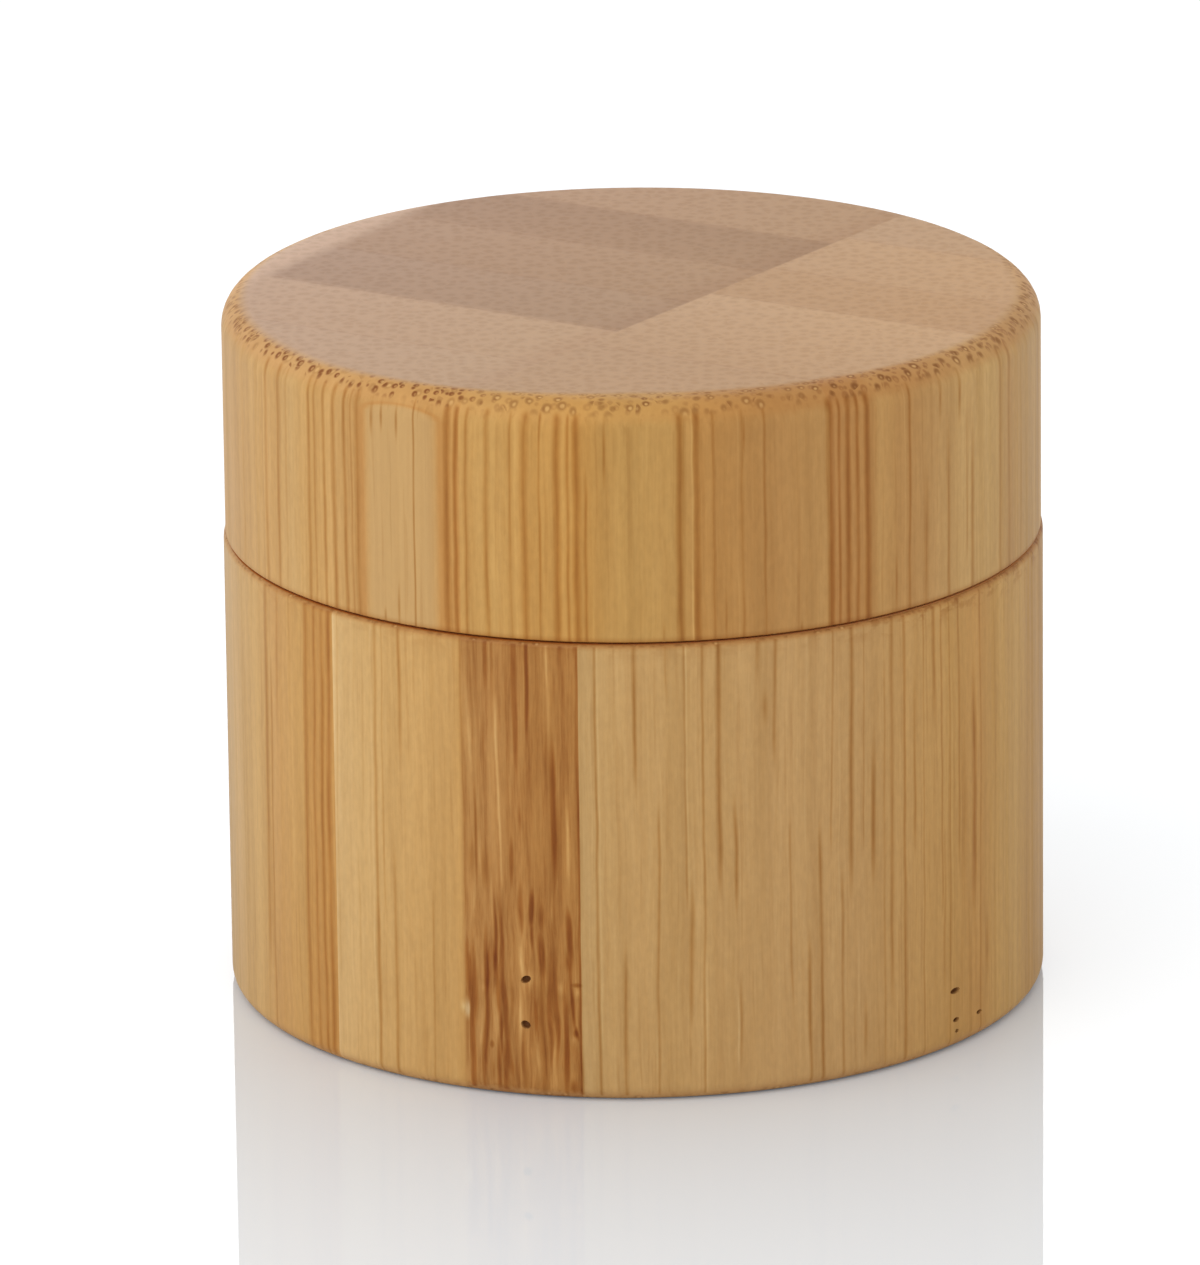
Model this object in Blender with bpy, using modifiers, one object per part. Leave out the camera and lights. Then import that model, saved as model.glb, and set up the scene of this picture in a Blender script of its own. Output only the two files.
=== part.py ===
"""Small bamboo cosmetic jar with a screw lid.

Two turned bamboo shells, the body and the lid, each hold a moulded insert. The body carries a cup whose
flange sits in a rebate and whose neck stands up into the lid. The lid carries a threaded cap with a foam
liner, and a dished disc with a pull tab closes the neck underneath it.

The jar stands on z = 0 with its axis on Z. All lengths are in metres.
"""

import math

import bmesh
import bpy
from mathutils import Matrix

# Clearances shared by all fits
SEAT_GAP = 0.0003
GLUE_GAP = 0.0003
DISC_FIT_GAP = 0.0003
CUP_FOOT_GAP = 0.0005

# Bamboo body
BODY_DIAMETER = 0.0440
BODY_HEIGHT = 0.0252
BODY_WALL = 0.0062
BODY_FLOOR = 0.0045
BODY_RIM_ROUND = 0.0003
BODY_BASE_ROUND = 0.0005
BORE_CORNER_ROUND = 0.0006

# Cup insert
FLANGE_LEDGE = 0.0020
FLANGE_THICKNESS = 0.0012
FLANGE_EDGE_ROUND = 0.0003
CUP_WALL = 0.0013
CUP_DRAFT = 0.0004
CUP_FLOOR_ROUND = 0.0042
CUP_RIB_HEIGHT = 0.0010
CUP_RIB_WIDTH = 0.0011
CUP_RIB_END_GAP = 0.0050
NECK_HEIGHT = 0.0070
NECK_RIM_ROUND = 0.0003

# Sealing disc
DISC_LEDGE = 0.0006
DISC_RIM_THICKNESS = 0.0006
DISC_WEB_THICKNESS = 0.0007
DISC_DISH_DEPTH = 0.0022
DISC_DISH_DRAFT = 0.0003
DISC_CORNER_ROUND = 0.0005
PULL_TAB_LENGTH = 0.0080
PULL_TAB_HEIGHT = 0.0017
PULL_TAB_THICKNESS = 0.0012
PULL_TAB_OFFSET = 0.0060

# Foam liner
LINER_THICKNESS = 0.0010

# Threaded cap insert
THREAD_SPACE = 0.0011
CAP_WALL = 0.0011
CAP_CROWN = 0.0011
CAP_RIB_HEIGHT = 0.0005
CAP_RIB_WIDTH = 0.0007
CAP_COLLAR_HEIGHT = 0.0012
CAP_MOUTH_INSET = 0.0002
CAP_CORNER_ROUND = 0.0008
LINER_BEAD = 0.0002
LINER_BEAD_HEIGHT = 0.0006

# Bamboo lid
LID_SETBACK = 0.0001
LID_CROWN = 0.0030
LID_TOP_ROUND = 0.00155
LID_RIM_ROUND = 0.0001
SEAM_GAP = 0.0003

# Counts and mesh settings
SHELL_STEPS = 72
INSERT_STEPS = 48
ROUND_SEGMENTS = 4
LARGE_ROUND_SEGMENTS = 6
CUP_RIB_COUNT = 12
CAP_RIB_COUNT = 24
PULL_TAB_SEGMENTS = 14
MERGE_DISTANCE = 0.00001
SMOOTH_ANGLE = math.radians(32.0)

# Sizes that follow from the ones above
BODY_RADIUS = BODY_DIAMETER / 2
BODY_BORE_RADIUS = BODY_RADIUS - BODY_WALL
REBATE_RADIUS = BODY_BORE_RADIUS + FLANGE_LEDGE
REBATE_DEPTH = FLANGE_THICKNESS + SEAT_GAP

CUP_OUTER_RADIUS = BODY_BORE_RADIUS - GLUE_GAP - CUP_RIB_HEIGHT
CUP_INNER_RADIUS = CUP_OUTER_RADIUS - CUP_WALL
FLANGE_RADIUS = REBATE_RADIUS - GLUE_GAP
FLANGE_Z = BODY_HEIGHT - FLANGE_THICKNESS
CUP_DEPTH = FLANGE_Z - BODY_FLOOR - CUP_FOOT_GAP
NECK_TOP = FLANGE_THICKNESS + NECK_HEIGHT

DISC_SEAT_RADIUS = CUP_INNER_RADIUS + DISC_LEDGE
DISC_SEAT_DEPTH = DISC_RIM_THICKNESS + SEAT_GAP
DISC_RADIUS = DISC_SEAT_RADIUS - DISC_FIT_GAP
DISC_DISH_RADIUS = CUP_INNER_RADIUS - DISC_FIT_GAP
DISC_Z = FLANGE_Z + NECK_TOP - DISC_RIM_THICKNESS

CAP_INNER_RADIUS = CUP_OUTER_RADIUS + THREAD_SPACE
CAP_OUTER_RADIUS = CAP_INNER_RADIUS + CAP_WALL
CAP_COLLAR_RADIUS = CAP_OUTER_RADIUS + CAP_RIB_HEIGHT

LINER_Z = FLANGE_Z + NECK_TOP + SEAT_GAP
LINER_RADIUS = CAP_INNER_RADIUS - GLUE_GAP

LID_RIM_Z = BODY_HEIGHT + SEAM_GAP
CAP_CEILING = LINER_Z + LINER_THICKNESS + SEAT_GAP - LID_RIM_Z
CAP_TOP = CAP_CEILING + CAP_CROWN
LID_RADIUS = BODY_RADIUS - LID_SETBACK
LID_BORE_RADIUS = CAP_COLLAR_RADIUS + GLUE_GAP
LID_BORE_DEPTH = CAP_TOP + SEAT_GAP
LID_HEIGHT = LID_BORE_DEPTH + LID_CROWN

# Colours in linear RGB with roughness
BAMBOO_COLOUR = (0.52, 0.30, 0.12, 1.0)
LID_BAMBOO_COLOUR = (0.53, 0.33, 0.16, 1.0)
INSERT_COLOUR = (0.86, 0.86, 0.84, 1.0)
FOAM_COLOUR = (0.80, 0.80, 0.78, 1.0)
BAMBOO_ROUGHNESS = 0.55
INSERT_ROUGHNESS = 0.35
FOAM_ROUGHNESS = 0.90


def clear_scene():
    """Remove every object, so that the script can be run again in an open file."""
    for obj in list(bpy.data.objects):
        bpy.data.objects.remove(obj, do_unlink=True)


def new_collection(name, parent):
    """Return a new collection linked under the parent collection."""
    collection = bpy.data.collections.new(name)
    parent.children.link(collection)
    return collection


def new_material(name, colour, roughness):
    """Return a non-metallic Principled material."""
    material = bpy.data.materials.new(name)
    material.use_nodes = True
    shader = material.node_tree.nodes["Principled BSDF"]
    shader.inputs["Base Color"].default_value = colour
    shader.inputs["Roughness"].default_value = roughness
    shader.inputs["Metallic"].default_value = 0.0
    material.diffuse_color = colour
    return material


def rounded(centre_r, centre_z, radius, start_degrees, end_degrees, segments=ROUND_SEGMENTS):
    """Return profile points along an arc, from one angle to the other, both ends included."""
    points = []
    for step in range(segments + 1):
        angle = math.radians(start_degrees + (end_degrees - start_degrees) * step / segments)
        points.append((centre_r + radius * math.cos(angle), centre_z + radius * math.sin(angle)))
    return points


def turned(name, profile, steps, material, collection):
    """Return a solid of revolution made from (radius, height) points with a Screw modifier."""
    mesh = bpy.data.meshes.new(name)
    vertices = [(radius, 0.0, height) for radius, height in profile]
    edges = [(index, index + 1) for index in range(len(profile) - 1)]
    mesh.from_pydata(vertices, edges, [])
    mesh.materials.append(material)
    obj = bpy.data.objects.new(name, mesh)
    collection.objects.link(obj)
    screw = obj.modifiers.new("turned", "SCREW")
    screw.axis = "Z"
    screw.angle = math.tau
    screw.steps = steps
    screw.render_steps = steps
    screw.use_merge_vertices = True
    screw.merge_threshold = MERGE_DISTANCE
    return obj


def rib_ring(name, count, inner_radius, outer_radius, width, bottom, top, collection):
    """Return a cutter-side object of upright ribs, set evenly round the axis."""
    mesh = bpy.data.meshes.new(name)
    shape = bmesh.new()
    depth = outer_radius - inner_radius
    size = Matrix.Diagonal((depth, width, top - bottom, 1.0))
    place = Matrix.Translation((inner_radius + depth / 2, 0.0, (bottom + top) / 2))
    for index in range(count):
        turn = Matrix.Rotation(math.tau * index / count, 4, "Z")
        bmesh.ops.create_cube(shape, size=1.0, matrix=turn @ place @ size)
    shape.to_mesh(mesh)
    shape.free()
    obj = bpy.data.objects.new(name, mesh)
    collection.objects.link(obj)
    obj.hide_render = True
    obj.display_type = "WIRE"
    return obj


def pull_tab(name, collection):
    """Return the half-moon tab that stands up from the disc's web, with its foot sunk in the web."""
    foot = DISC_WEB_THICKNESS / 2
    curve = bpy.data.curves.new(name, "CURVE")
    curve.dimensions = "2D"
    curve.fill_mode = "BOTH"
    curve.extrude = PULL_TAB_THICKNESS / 2
    spline = curve.splines.new("POLY")
    points = [(-PULL_TAB_LENGTH / 2, -foot), (PULL_TAB_LENGTH / 2, -foot)]
    for step in range(PULL_TAB_SEGMENTS + 1):
        angle = math.pi * step / PULL_TAB_SEGMENTS
        points.append((PULL_TAB_LENGTH / 2 * math.cos(angle), PULL_TAB_HEIGHT * math.sin(angle)))
    spline.points.add(len(points) - 1)
    for point, (across, up) in zip(spline.points, points):
        point.co = (across, up, 0.0, 1.0)
    spline.use_cyclic_u = True
    outline = bpy.data.objects.new(name + "_outline", curve)
    collection.objects.link(outline)
    upright = Matrix.Rotation(math.pi / 2, 4, "X")
    web_top = DISC_RIM_THICKNESS - DISC_DISH_DEPTH
    outline.matrix_world = Matrix.Translation((0.0, -PULL_TAB_OFFSET, web_top)) @ upright
    return meshed(outline, name, collection)


def meshed(curve_object, name, collection):
    """Return the curve object as a welded mesh object in the same place, and remove the curve."""
    bpy.context.view_layer.update()
    graph = bpy.context.evaluated_depsgraph_get()
    mesh = bpy.data.meshes.new_from_object(curve_object.evaluated_get(graph))
    shape = bmesh.new()
    shape.from_mesh(mesh)
    bmesh.ops.remove_doubles(shape, verts=shape.verts, dist=MERGE_DISTANCE)
    bmesh.ops.recalc_face_normals(shape, faces=shape.faces)
    shape.to_mesh(mesh)
    shape.free()
    obj = bpy.data.objects.new(name, mesh)
    collection.objects.link(obj)
    obj.matrix_world = curve_object.matrix_world.copy()
    bpy.data.objects.remove(curve_object, do_unlink=True)
    obj.hide_render = True
    obj.display_type = "WIRE"
    return obj


def join_with(obj, tool):
    """Fuse the tool's solids to the object with an exact union."""
    union = obj.modifiers.new(tool.name, "BOOLEAN")
    union.operation = "UNION"
    union.solver = "EXACT"
    union.object = tool


def settle(obj):
    """Turn the object's modifiers into its mesh and shade its round faces smooth."""
    bpy.context.view_layer.update()
    graph = bpy.context.evaluated_depsgraph_get()
    mesh = bpy.data.meshes.new_from_object(obj.evaluated_get(graph))
    rough = obj.data
    obj.modifiers.clear()
    obj.data = mesh
    bpy.data.meshes.remove(rough)
    mesh.name = obj.name
    mesh.shade_smooth()
    mesh.set_sharp_from_angle(angle=SMOOTH_ANGLE)


def seat(obj, height, parent=None):
    """Put the object's own datum on the jar's axis at a height, under its parent empty if it has one."""
    obj.location = (0.0, 0.0, height)
    if parent is not None:
        bpy.context.view_layer.update()
        obj.parent = parent
        obj.matrix_parent_inverse = parent.matrix_world.inverted()


def new_axis(name, height, collection, parent=None):
    """Return an empty on the jar's axis, where a joint moves what is under it."""
    empty = bpy.data.objects.new(name, None)
    empty.empty_display_type = "SINGLE_ARROW"
    empty.empty_display_size = BODY_RADIUS
    collection.objects.link(empty)
    seat(empty, height, parent)
    return empty


def bamboo_body_profile():
    """Return the body's section, from the bore's floor up, over the rim and down the outside."""
    floor = BODY_FLOOR
    ledge = BODY_HEIGHT - REBATE_DEPTH
    corner = BORE_CORNER_ROUND
    rim = BODY_RIM_ROUND
    base = BODY_BASE_ROUND
    points = [(0.0, floor)]
    points += rounded(BODY_BORE_RADIUS - corner, floor + corner, corner, -90, 0, ROUND_SEGMENTS // 2)
    points += [(BODY_BORE_RADIUS, ledge), (REBATE_RADIUS, ledge)]
    points += [(REBATE_RADIUS, BODY_HEIGHT)]
    points += rounded(BODY_RADIUS - rim, BODY_HEIGHT - rim, rim, 90, 0)
    points += rounded(BODY_RADIUS - base, base, base, 0, -90)
    points += [(0.0, 0.0)]
    return points


def inner_cup_profile():
    """Return the cup's section, with its datum at the flange's underside."""
    foot = -CUP_DEPTH
    floor = foot + CUP_WALL
    inner_foot_radius = CUP_INNER_RADIUS - CUP_DRAFT
    outer_foot_radius = CUP_OUTER_RADIUS - CUP_DRAFT
    inner_round = CUP_FLOOR_ROUND
    outer_round = CUP_FLOOR_ROUND + CUP_WALL
    rim = NECK_RIM_ROUND
    edge = FLANGE_EDGE_ROUND
    disc_seat = NECK_TOP - DISC_SEAT_DEPTH
    segments = LARGE_ROUND_SEGMENTS
    points = [(0.0, floor)]
    points += rounded(inner_foot_radius - inner_round, floor + inner_round, inner_round, -90, 0, segments)
    points += [(CUP_INNER_RADIUS, 0.0), (CUP_INNER_RADIUS, disc_seat)]
    points += [(DISC_SEAT_RADIUS, disc_seat), (DISC_SEAT_RADIUS, NECK_TOP)]
    points += rounded(CUP_OUTER_RADIUS - rim, NECK_TOP - rim, rim, 90, 0, ROUND_SEGMENTS // 2)
    points += [(CUP_OUTER_RADIUS, FLANGE_THICKNESS)]
    points += rounded(FLANGE_RADIUS - edge, FLANGE_THICKNESS - edge, edge, 90, 0, ROUND_SEGMENTS // 2)
    points += [(FLANGE_RADIUS, 0.0), (CUP_OUTER_RADIUS, 0.0)]
    points += rounded(outer_foot_radius - outer_round, foot + outer_round, outer_round, 0, -90, segments)
    points += [(0.0, foot)]
    return points


def sealing_disc_profile():
    """Return the disc's section, with its datum at the underside of its rim."""
    top = DISC_RIM_THICKNESS
    web_top = top - DISC_DISH_DEPTH
    web_foot = web_top - DISC_WEB_THICKNESS
    corner = DISC_CORNER_ROUND
    outer_foot_radius = DISC_DISH_RADIUS - DISC_DISH_DRAFT
    inner_top_radius = DISC_DISH_RADIUS - DISC_WEB_THICKNESS
    inner_foot_radius = inner_top_radius - DISC_DISH_DRAFT
    half = ROUND_SEGMENTS // 2
    points = [(0.0, web_top)]
    points += rounded(inner_foot_radius - corner, web_top + corner, corner, -90, 0, half)
    points += [(inner_top_radius, top), (DISC_RADIUS, top), (DISC_RADIUS, 0.0), (DISC_DISH_RADIUS, 0.0)]
    points += rounded(outer_foot_radius - corner, web_foot + corner, corner, 0, -90, half)
    points += [(0.0, web_foot)]
    return points


def liner_profile():
    """Return the liner's section, with its datum at its underside."""
    return [(0.0, LINER_THICKNESS), (LINER_RADIUS, LINER_THICKNESS), (LINER_RADIUS, 0.0), (0.0, 0.0)]


def inner_cap_profile():
    """Return the threaded cap's section without its thread, with its datum at the lid's rim."""
    mouth = CAP_MOUTH_INSET
    collar_top = mouth + CAP_COLLAR_HEIGHT
    corner = CAP_CORNER_ROUND
    bead_foot = LINER_Z - LID_RIM_Z - SEAT_GAP - LINER_BEAD_HEIGHT
    bead_radius = CAP_INNER_RADIUS - LINER_BEAD
    half = ROUND_SEGMENTS // 2
    points = [(0.0, CAP_TOP)]
    points += rounded(CAP_OUTER_RADIUS - corner, CAP_TOP - corner, corner, 90, 0, half)
    points += [(CAP_OUTER_RADIUS, collar_top), (CAP_COLLAR_RADIUS, collar_top)]
    points += [(CAP_COLLAR_RADIUS, mouth), (CAP_INNER_RADIUS, mouth)]
    points += [(CAP_INNER_RADIUS, bead_foot), (bead_radius, bead_foot + LINER_BEAD_HEIGHT / 2)]
    points += [(CAP_INNER_RADIUS, bead_foot + LINER_BEAD_HEIGHT)]
    points += [(CAP_INNER_RADIUS, CAP_CEILING), (0.0, CAP_CEILING)]
    return points


def bamboo_lid_profile():
    """Return the lid's section, with its datum at its rim."""
    top_round = LID_TOP_ROUND
    rim = LID_RIM_ROUND
    corner = BORE_CORNER_ROUND
    half = ROUND_SEGMENTS // 2
    points = [(0.0, LID_HEIGHT)]
    points += rounded(LID_RADIUS - top_round, LID_HEIGHT - top_round, top_round, 90, 0, LARGE_ROUND_SEGMENTS)
    points += rounded(LID_RADIUS - rim, rim, rim, 0, -90, half)
    points += [(LID_BORE_RADIUS, 0.0)]
    points += rounded(LID_BORE_RADIUS - corner, LID_BORE_DEPTH - corner, corner, 0, 90, half)
    points += [(0.0, LID_BORE_DEPTH)]
    return points


def build_jar(parts, cutters):
    """Build the body with its cup, which stay still."""
    bamboo = new_material("body_bamboo", BAMBOO_COLOUR, BAMBOO_ROUGHNESS)
    white = new_material("cup_plastic", INSERT_COLOUR, INSERT_ROUGHNESS)

    body = turned("bamboo_body", bamboo_body_profile(), SHELL_STEPS, bamboo, parts)
    settle(body)

    cup = turned("inner_cup", inner_cup_profile(), INSERT_STEPS, white, parts)
    ribs = rib_ring(
        "cup_ribs",
        CUP_RIB_COUNT,
        CUP_OUTER_RADIUS - CUP_DRAFT - CUP_WALL / 2,
        CUP_OUTER_RADIUS + CUP_RIB_HEIGHT,
        CUP_RIB_WIDTH,
        CUP_RIB_END_GAP - CUP_DEPTH,
        FLANGE_THICKNESS / 2,
        cutters,
    )
    join_with(cup, ribs)
    settle(cup)
    seat(cup, FLANGE_Z)


def build_disc(parts, cutters, lift_axis):
    """Build the sealing disc, which lifts out of the neck."""
    white = new_material("disc_plastic", INSERT_COLOUR, INSERT_ROUGHNESS)
    disc = turned("sealing_disc", sealing_disc_profile(), INSERT_STEPS, white, parts)
    join_with(disc, pull_tab("pull_tab", cutters))
    settle(disc)
    seat(disc, DISC_Z, lift_axis)


def build_liner(parts, rise_axis):
    """Build the foam liner, which rises with the lid."""
    foam = new_material("liner_foam", FOAM_COLOUR, FOAM_ROUGHNESS)
    liner = turned("liner", liner_profile(), INSERT_STEPS, foam, parts)
    settle(liner)
    seat(liner, LINER_Z, rise_axis)


def build_lid(parts, cutters, turn_axis):
    """Build the lid with its threaded cap, which turn together."""
    white = new_material("cap_plastic", INSERT_COLOUR, INSERT_ROUGHNESS)
    bamboo = new_material("lid_bamboo", LID_BAMBOO_COLOUR, BAMBOO_ROUGHNESS)

    cap = turned("inner_cap", inner_cap_profile(), INSERT_STEPS, white, parts)
    ribs = rib_ring(
        "cap_ribs",
        CAP_RIB_COUNT,
        CAP_OUTER_RADIUS - CAP_WALL / 2,
        CAP_COLLAR_RADIUS,
        CAP_RIB_WIDTH,
        CAP_MOUTH_INSET + CAP_COLLAR_HEIGHT / 2,
        CAP_TOP - CAP_CORNER_ROUND,
        cutters,
    )
    join_with(cap, ribs)
    settle(cap)
    seat(cap, LID_RIM_Z, turn_axis)

    lid = turned("bamboo_lid", bamboo_lid_profile(), SHELL_STEPS, bamboo, parts)
    settle(lid)
    seat(lid, LID_RIM_Z, turn_axis)


def build():
    """Build the whole jar."""
    clear_scene()
    parts = new_collection("bamboo_jar", bpy.context.scene.collection)
    cutters = new_collection("cutters", bpy.context.scene.collection)
    lift_axis = new_axis("lift_axis", DISC_Z, parts)
    rise_axis = new_axis("rise_axis", LINER_Z, parts, lift_axis)
    turn_axis = new_axis("turn_axis", LID_RIM_Z, parts, rise_axis)
    build_jar(parts, cutters)
    build_disc(parts, cutters, lift_axis)
    build_liner(parts, rise_axis)
    build_lid(parts, cutters, turn_axis)
    bpy.context.view_layer.update()


if __name__ == "__main__":
    build()
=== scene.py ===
"""Bamboo jar: the finished look of a small turned jar with a screw lid.

Two turned bamboo shells hold white moulded inserts. Each sub-assembly is a class that works out its sizes
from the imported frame, builds its mesh and dresses it. The bamboo is a solid pattern in the jar's own
coordinates, so the end grain on top, the dots on the rounds and the streaks down the side belong together.

Lengths are in metres, apart from those of the bamboo's patterns and marks, which are in millimetres.
"""

import logging
import math
from collections.abc import Sequence
from dataclasses import dataclass, field
from enum import Enum

import bmesh
import bpy
from mathutils import Matrix, Quaternion, Vector


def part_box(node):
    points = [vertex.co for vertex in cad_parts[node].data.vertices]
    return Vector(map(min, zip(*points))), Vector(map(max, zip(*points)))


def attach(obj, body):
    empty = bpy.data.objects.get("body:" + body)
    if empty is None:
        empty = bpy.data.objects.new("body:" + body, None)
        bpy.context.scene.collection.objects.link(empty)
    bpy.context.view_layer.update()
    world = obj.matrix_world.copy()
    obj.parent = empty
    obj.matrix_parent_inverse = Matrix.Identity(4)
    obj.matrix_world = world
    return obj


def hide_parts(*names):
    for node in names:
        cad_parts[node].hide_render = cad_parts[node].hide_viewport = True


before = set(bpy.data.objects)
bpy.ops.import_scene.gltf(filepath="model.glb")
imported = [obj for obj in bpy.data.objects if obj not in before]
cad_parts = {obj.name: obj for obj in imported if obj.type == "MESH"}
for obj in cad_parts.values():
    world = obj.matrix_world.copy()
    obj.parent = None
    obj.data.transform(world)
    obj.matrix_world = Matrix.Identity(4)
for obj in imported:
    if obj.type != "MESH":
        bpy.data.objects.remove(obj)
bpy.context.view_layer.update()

logging.basicConfig(level=logging.INFO, format="%(message)s")
log = logging.getLogger("bamboo_jar")

MM = 0.001
MM_PER_METRE = 1000.0
SLIVER = 0.001 * MM
RUN_OUT_CURVE = 0.5
THREAD_TIP = 0.05

Socket = bpy.types.NodeSocket
Value = Socket | float
Colour = tuple[float, float, float, float]
Triple = tuple[float, float, float]
ColourStops = Sequence[tuple[float, Colour]]
LevelStops = Sequence[tuple[float, float]]
Sector = tuple[tuple[float, float, float, float], ...]


class Body(Enum):
    """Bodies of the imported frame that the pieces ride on."""

    JAR = "jar"
    DISC = "disc"
    WAD = "wad"
    LID = "lid"


class Slot(Enum):
    """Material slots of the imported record."""

    BODY = "body_bamboo"
    CUP = "cup_plastic"
    DISC = "disc_plastic"
    WAD = "liner_foam"
    CAP = "cap_plastic"
    LID = "lid_bamboo"


class Tone(Enum):
    """What the marks in the bamboo multiply the wood's red, green and blue with."""

    STREAK = (0.65, 0.49, 0.30)
    DARK = (0.58, 0.38, 0.20)
    # Pale fibre lines, partly painted highlight beside the streaks and round the pits
    PALE_AND_HIGHLIGHT = (1.42, 1.70, 2.20)
    FILLER = (1.60, 2.50, 5.00)


def srgb(red: float, green: float, blue: float) -> Colour:
    """Turn a screen colour into the linear colour that shaders take.

    Args:
        red: Red from 0 to 255.
        green: Green from 0 to 255.
        blue: Blue from 0 to 255.

    Returns:
        The colour as linear red, green, blue and full alpha.
    """
    linear = []
    for channel in (red, green, blue):
        share = channel / 255
        linear.append(share / 12.92 if share <= 0.04045 else ((share + 0.055) / 1.055) ** 2.4)
    return (linear[0], linear[1], linear[2], 1.0)


def grey(level: float) -> Colour:
    """Return a neutral linear colour of that level."""
    return (level, level, level, 1.0)


@dataclass(frozen=True)
class Grain:
    """A noise pattern: its steps per millimetre, its octaves and how rough they make it."""

    stretch: Triple
    detail: float = 2.0
    roughness: float = 0.5


class Graph:
    """A node tree with short calls that add a node and return its socket."""

    def __init__(self, tree: bpy.types.NodeTree) -> None:
        """Keep the tree that the calls add to."""
        self.tree = tree

    def put(self, value: object, socket: Socket) -> None:
        """Link a socket to an input, or set the input's own value.

        Args:
            value: The socket or the value.
            socket: The input.
        """
        if isinstance(value, bpy.types.NodeSocket):
            self.tree.links.new(value, socket)
        else:
            socket.default_value = value

    def add(self, kind: str, values: dict | None = None, **settings: object) -> bpy.types.Node:
        """Add a node.

        Args:
            kind: The node's type.
            values: What goes into its inputs, by their name or number.
            settings: Properties of the node, set before its inputs.

        Returns:
            The new node.
        """
        node = self.tree.nodes.new(kind)
        for name, setting in settings.items():
            setattr(node, name, setting)
        for name, value in (values or {}).items():
            self.put(value, node.inputs[name])
        return node

    def give(self, kind: str, values: dict | None = None, **settings: object) -> Socket:
        """Add a node and return its first output."""
        return self.add(kind, values, **settings).outputs[0]

    def math(self, operation: str, *values: Value, clamp: bool = False) -> Socket:
        """Return the result of a Math node."""
        inputs = dict(enumerate(values))
        return self.give("ShaderNodeMath", inputs, operation=operation, use_clamp=clamp)

    def times(self, *values: Value) -> Socket:
        """Return the product of two or more numbers.

        Args:
            values: The numbers, which are multiplied from the first one on.

        Returns:
            Their product.
        """
        product = values[0]
        for value in values[1:]:
            product = self.math("MULTIPLY", product, value)
        return product

    def rest(self, share: Value) -> Socket:
        """Return what a share leaves of the whole."""
        return self.math("SUBTRACT", 1.0, share)

    def vector(self, operation: str, *values: object) -> Socket:
        """Return the vector result of a Vector Math node."""
        return self.give("ShaderNodeVectorMath", dict(enumerate(values)), operation=operation)

    def measure(self, operation: str, *values: object) -> Socket:
        """Return the number that a Vector Math node gives."""
        inputs = dict(enumerate(values))
        return self.add("ShaderNodeVectorMath", inputs, operation=operation).outputs["Value"]

    def dot(self, one: object, other: object) -> Socket:
        """Return the dot product of two vectors."""
        return self.measure("DOT_PRODUCT", one, other)

    def scaled(self, vector: Socket, factor: Value) -> Socket:
        """Return the vector times a number."""
        return self.give("ShaderNodeVectorMath", {0: vector, "Scale": factor}, operation="SCALE")

    def joined(self, **parts: Value) -> Socket:
        """Return a vector from its parts, which are given as X, Y and Z."""
        return self.give("ShaderNodeCombineXYZ", parts)

    def split(self, vector: Socket) -> tuple[Socket, Socket, Socket]:
        """Return the three parts of a vector."""
        outputs = self.add("ShaderNodeSeparateXYZ", {0: vector}).outputs
        return outputs[0], outputs[1], outputs[2]

    def remap(self, value: Value, low: float, high: float, start: Value = 0.0, end: Value = 1.0) -> Socket:
        """Ease a value from one range to another.

        Args:
            value: What is mapped.
            low: Where the change starts.
            high: Where it ends, which may be below the start.
            start: The result at the start.
            end: The result at the end.

        Returns:
            The eased value, held at both ends.
        """
        swap = low > high
        values = {0: value, 1: min(low, high), 2: max(low, high)}
        values[3] = end if swap else start
        values[4] = start if swap else end
        return self.give("ShaderNodeMapRange", values, interpolation_type="SMOOTHSTEP")

    def mix(self, factor: Value, one: object, other: object, blend: str = "MIX") -> Socket:
        """Mix two colours.

        Args:
            factor: The share of the second colour.
            one: The first colour, or a socket that carries it.
            other: The second colour, or a socket that carries it.
            blend: The node's blend mode.

        Returns:
            The mixed colour.
        """
        values = {0: factor, 6: one, 7: other}
        return self.add("ShaderNodeMix", values, data_type="RGBA", blend_type=blend).outputs[2]

    def tinted(self, colour: object, tint: object, share: Value = 1.0) -> Socket:
        """Return a colour multiplied by a tint, in full or by a share."""
        return self.mix(share, colour, tint, "MULTIPLY")

    def noise(self, point: Socket, grain: Grain, output: str | int = 0) -> Socket:
        """Return a noise pattern.

        Args:
            point: The place in millimetres.
            grain: The pattern.
            output: Which of the node's outputs is wanted.

        Returns:
            The pattern's value, or its colour for three values at once.
        """
        values = {"Vector": self.vector("MULTIPLY", point, grain.stretch), "Scale": 1.0}
        values |= {"Detail": grain.detail, "Roughness": grain.roughness}
        return self.add("ShaderNodeTexNoise", values).outputs[output]

    def ramp(self, value: Socket, stops: ColourStops) -> Socket:
        """Return the colour of a Color Ramp.

        Args:
            value: What is looked up, from 0 to 1.
            stops: Places and colours, from the lowest place up.

        Returns:
            The colour.
        """
        node = self.add("ShaderNodeValToRGB", {0: value})
        ramp = node.color_ramp
        while len(ramp.elements) < len(stops):
            ramp.elements.new(1.0)
        for element, (place, colour) in zip(ramp.elements, stops):
            element.position = place
            element.color = colour
        return node.outputs[0]

    def bump(self, height: Socket, strength: float, depth: float) -> Socket:
        """Return the normals of a relief of that depth."""
        values = {"Strength": strength, "Distance": depth, "Height": height}
        return self.give("ShaderNodeBump", values)


def started(name: str) -> tuple[bpy.types.Material, Graph, bpy.types.Node]:
    """Start a material.

    Args:
        name: The material's name.

    Returns:
        The material, its tree and its Principled shader.
    """
    material = bpy.data.materials.new(name)
    material.use_nodes = True
    return material, Graph(material.node_tree), material.node_tree.nodes["Principled BSDF"]


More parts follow.
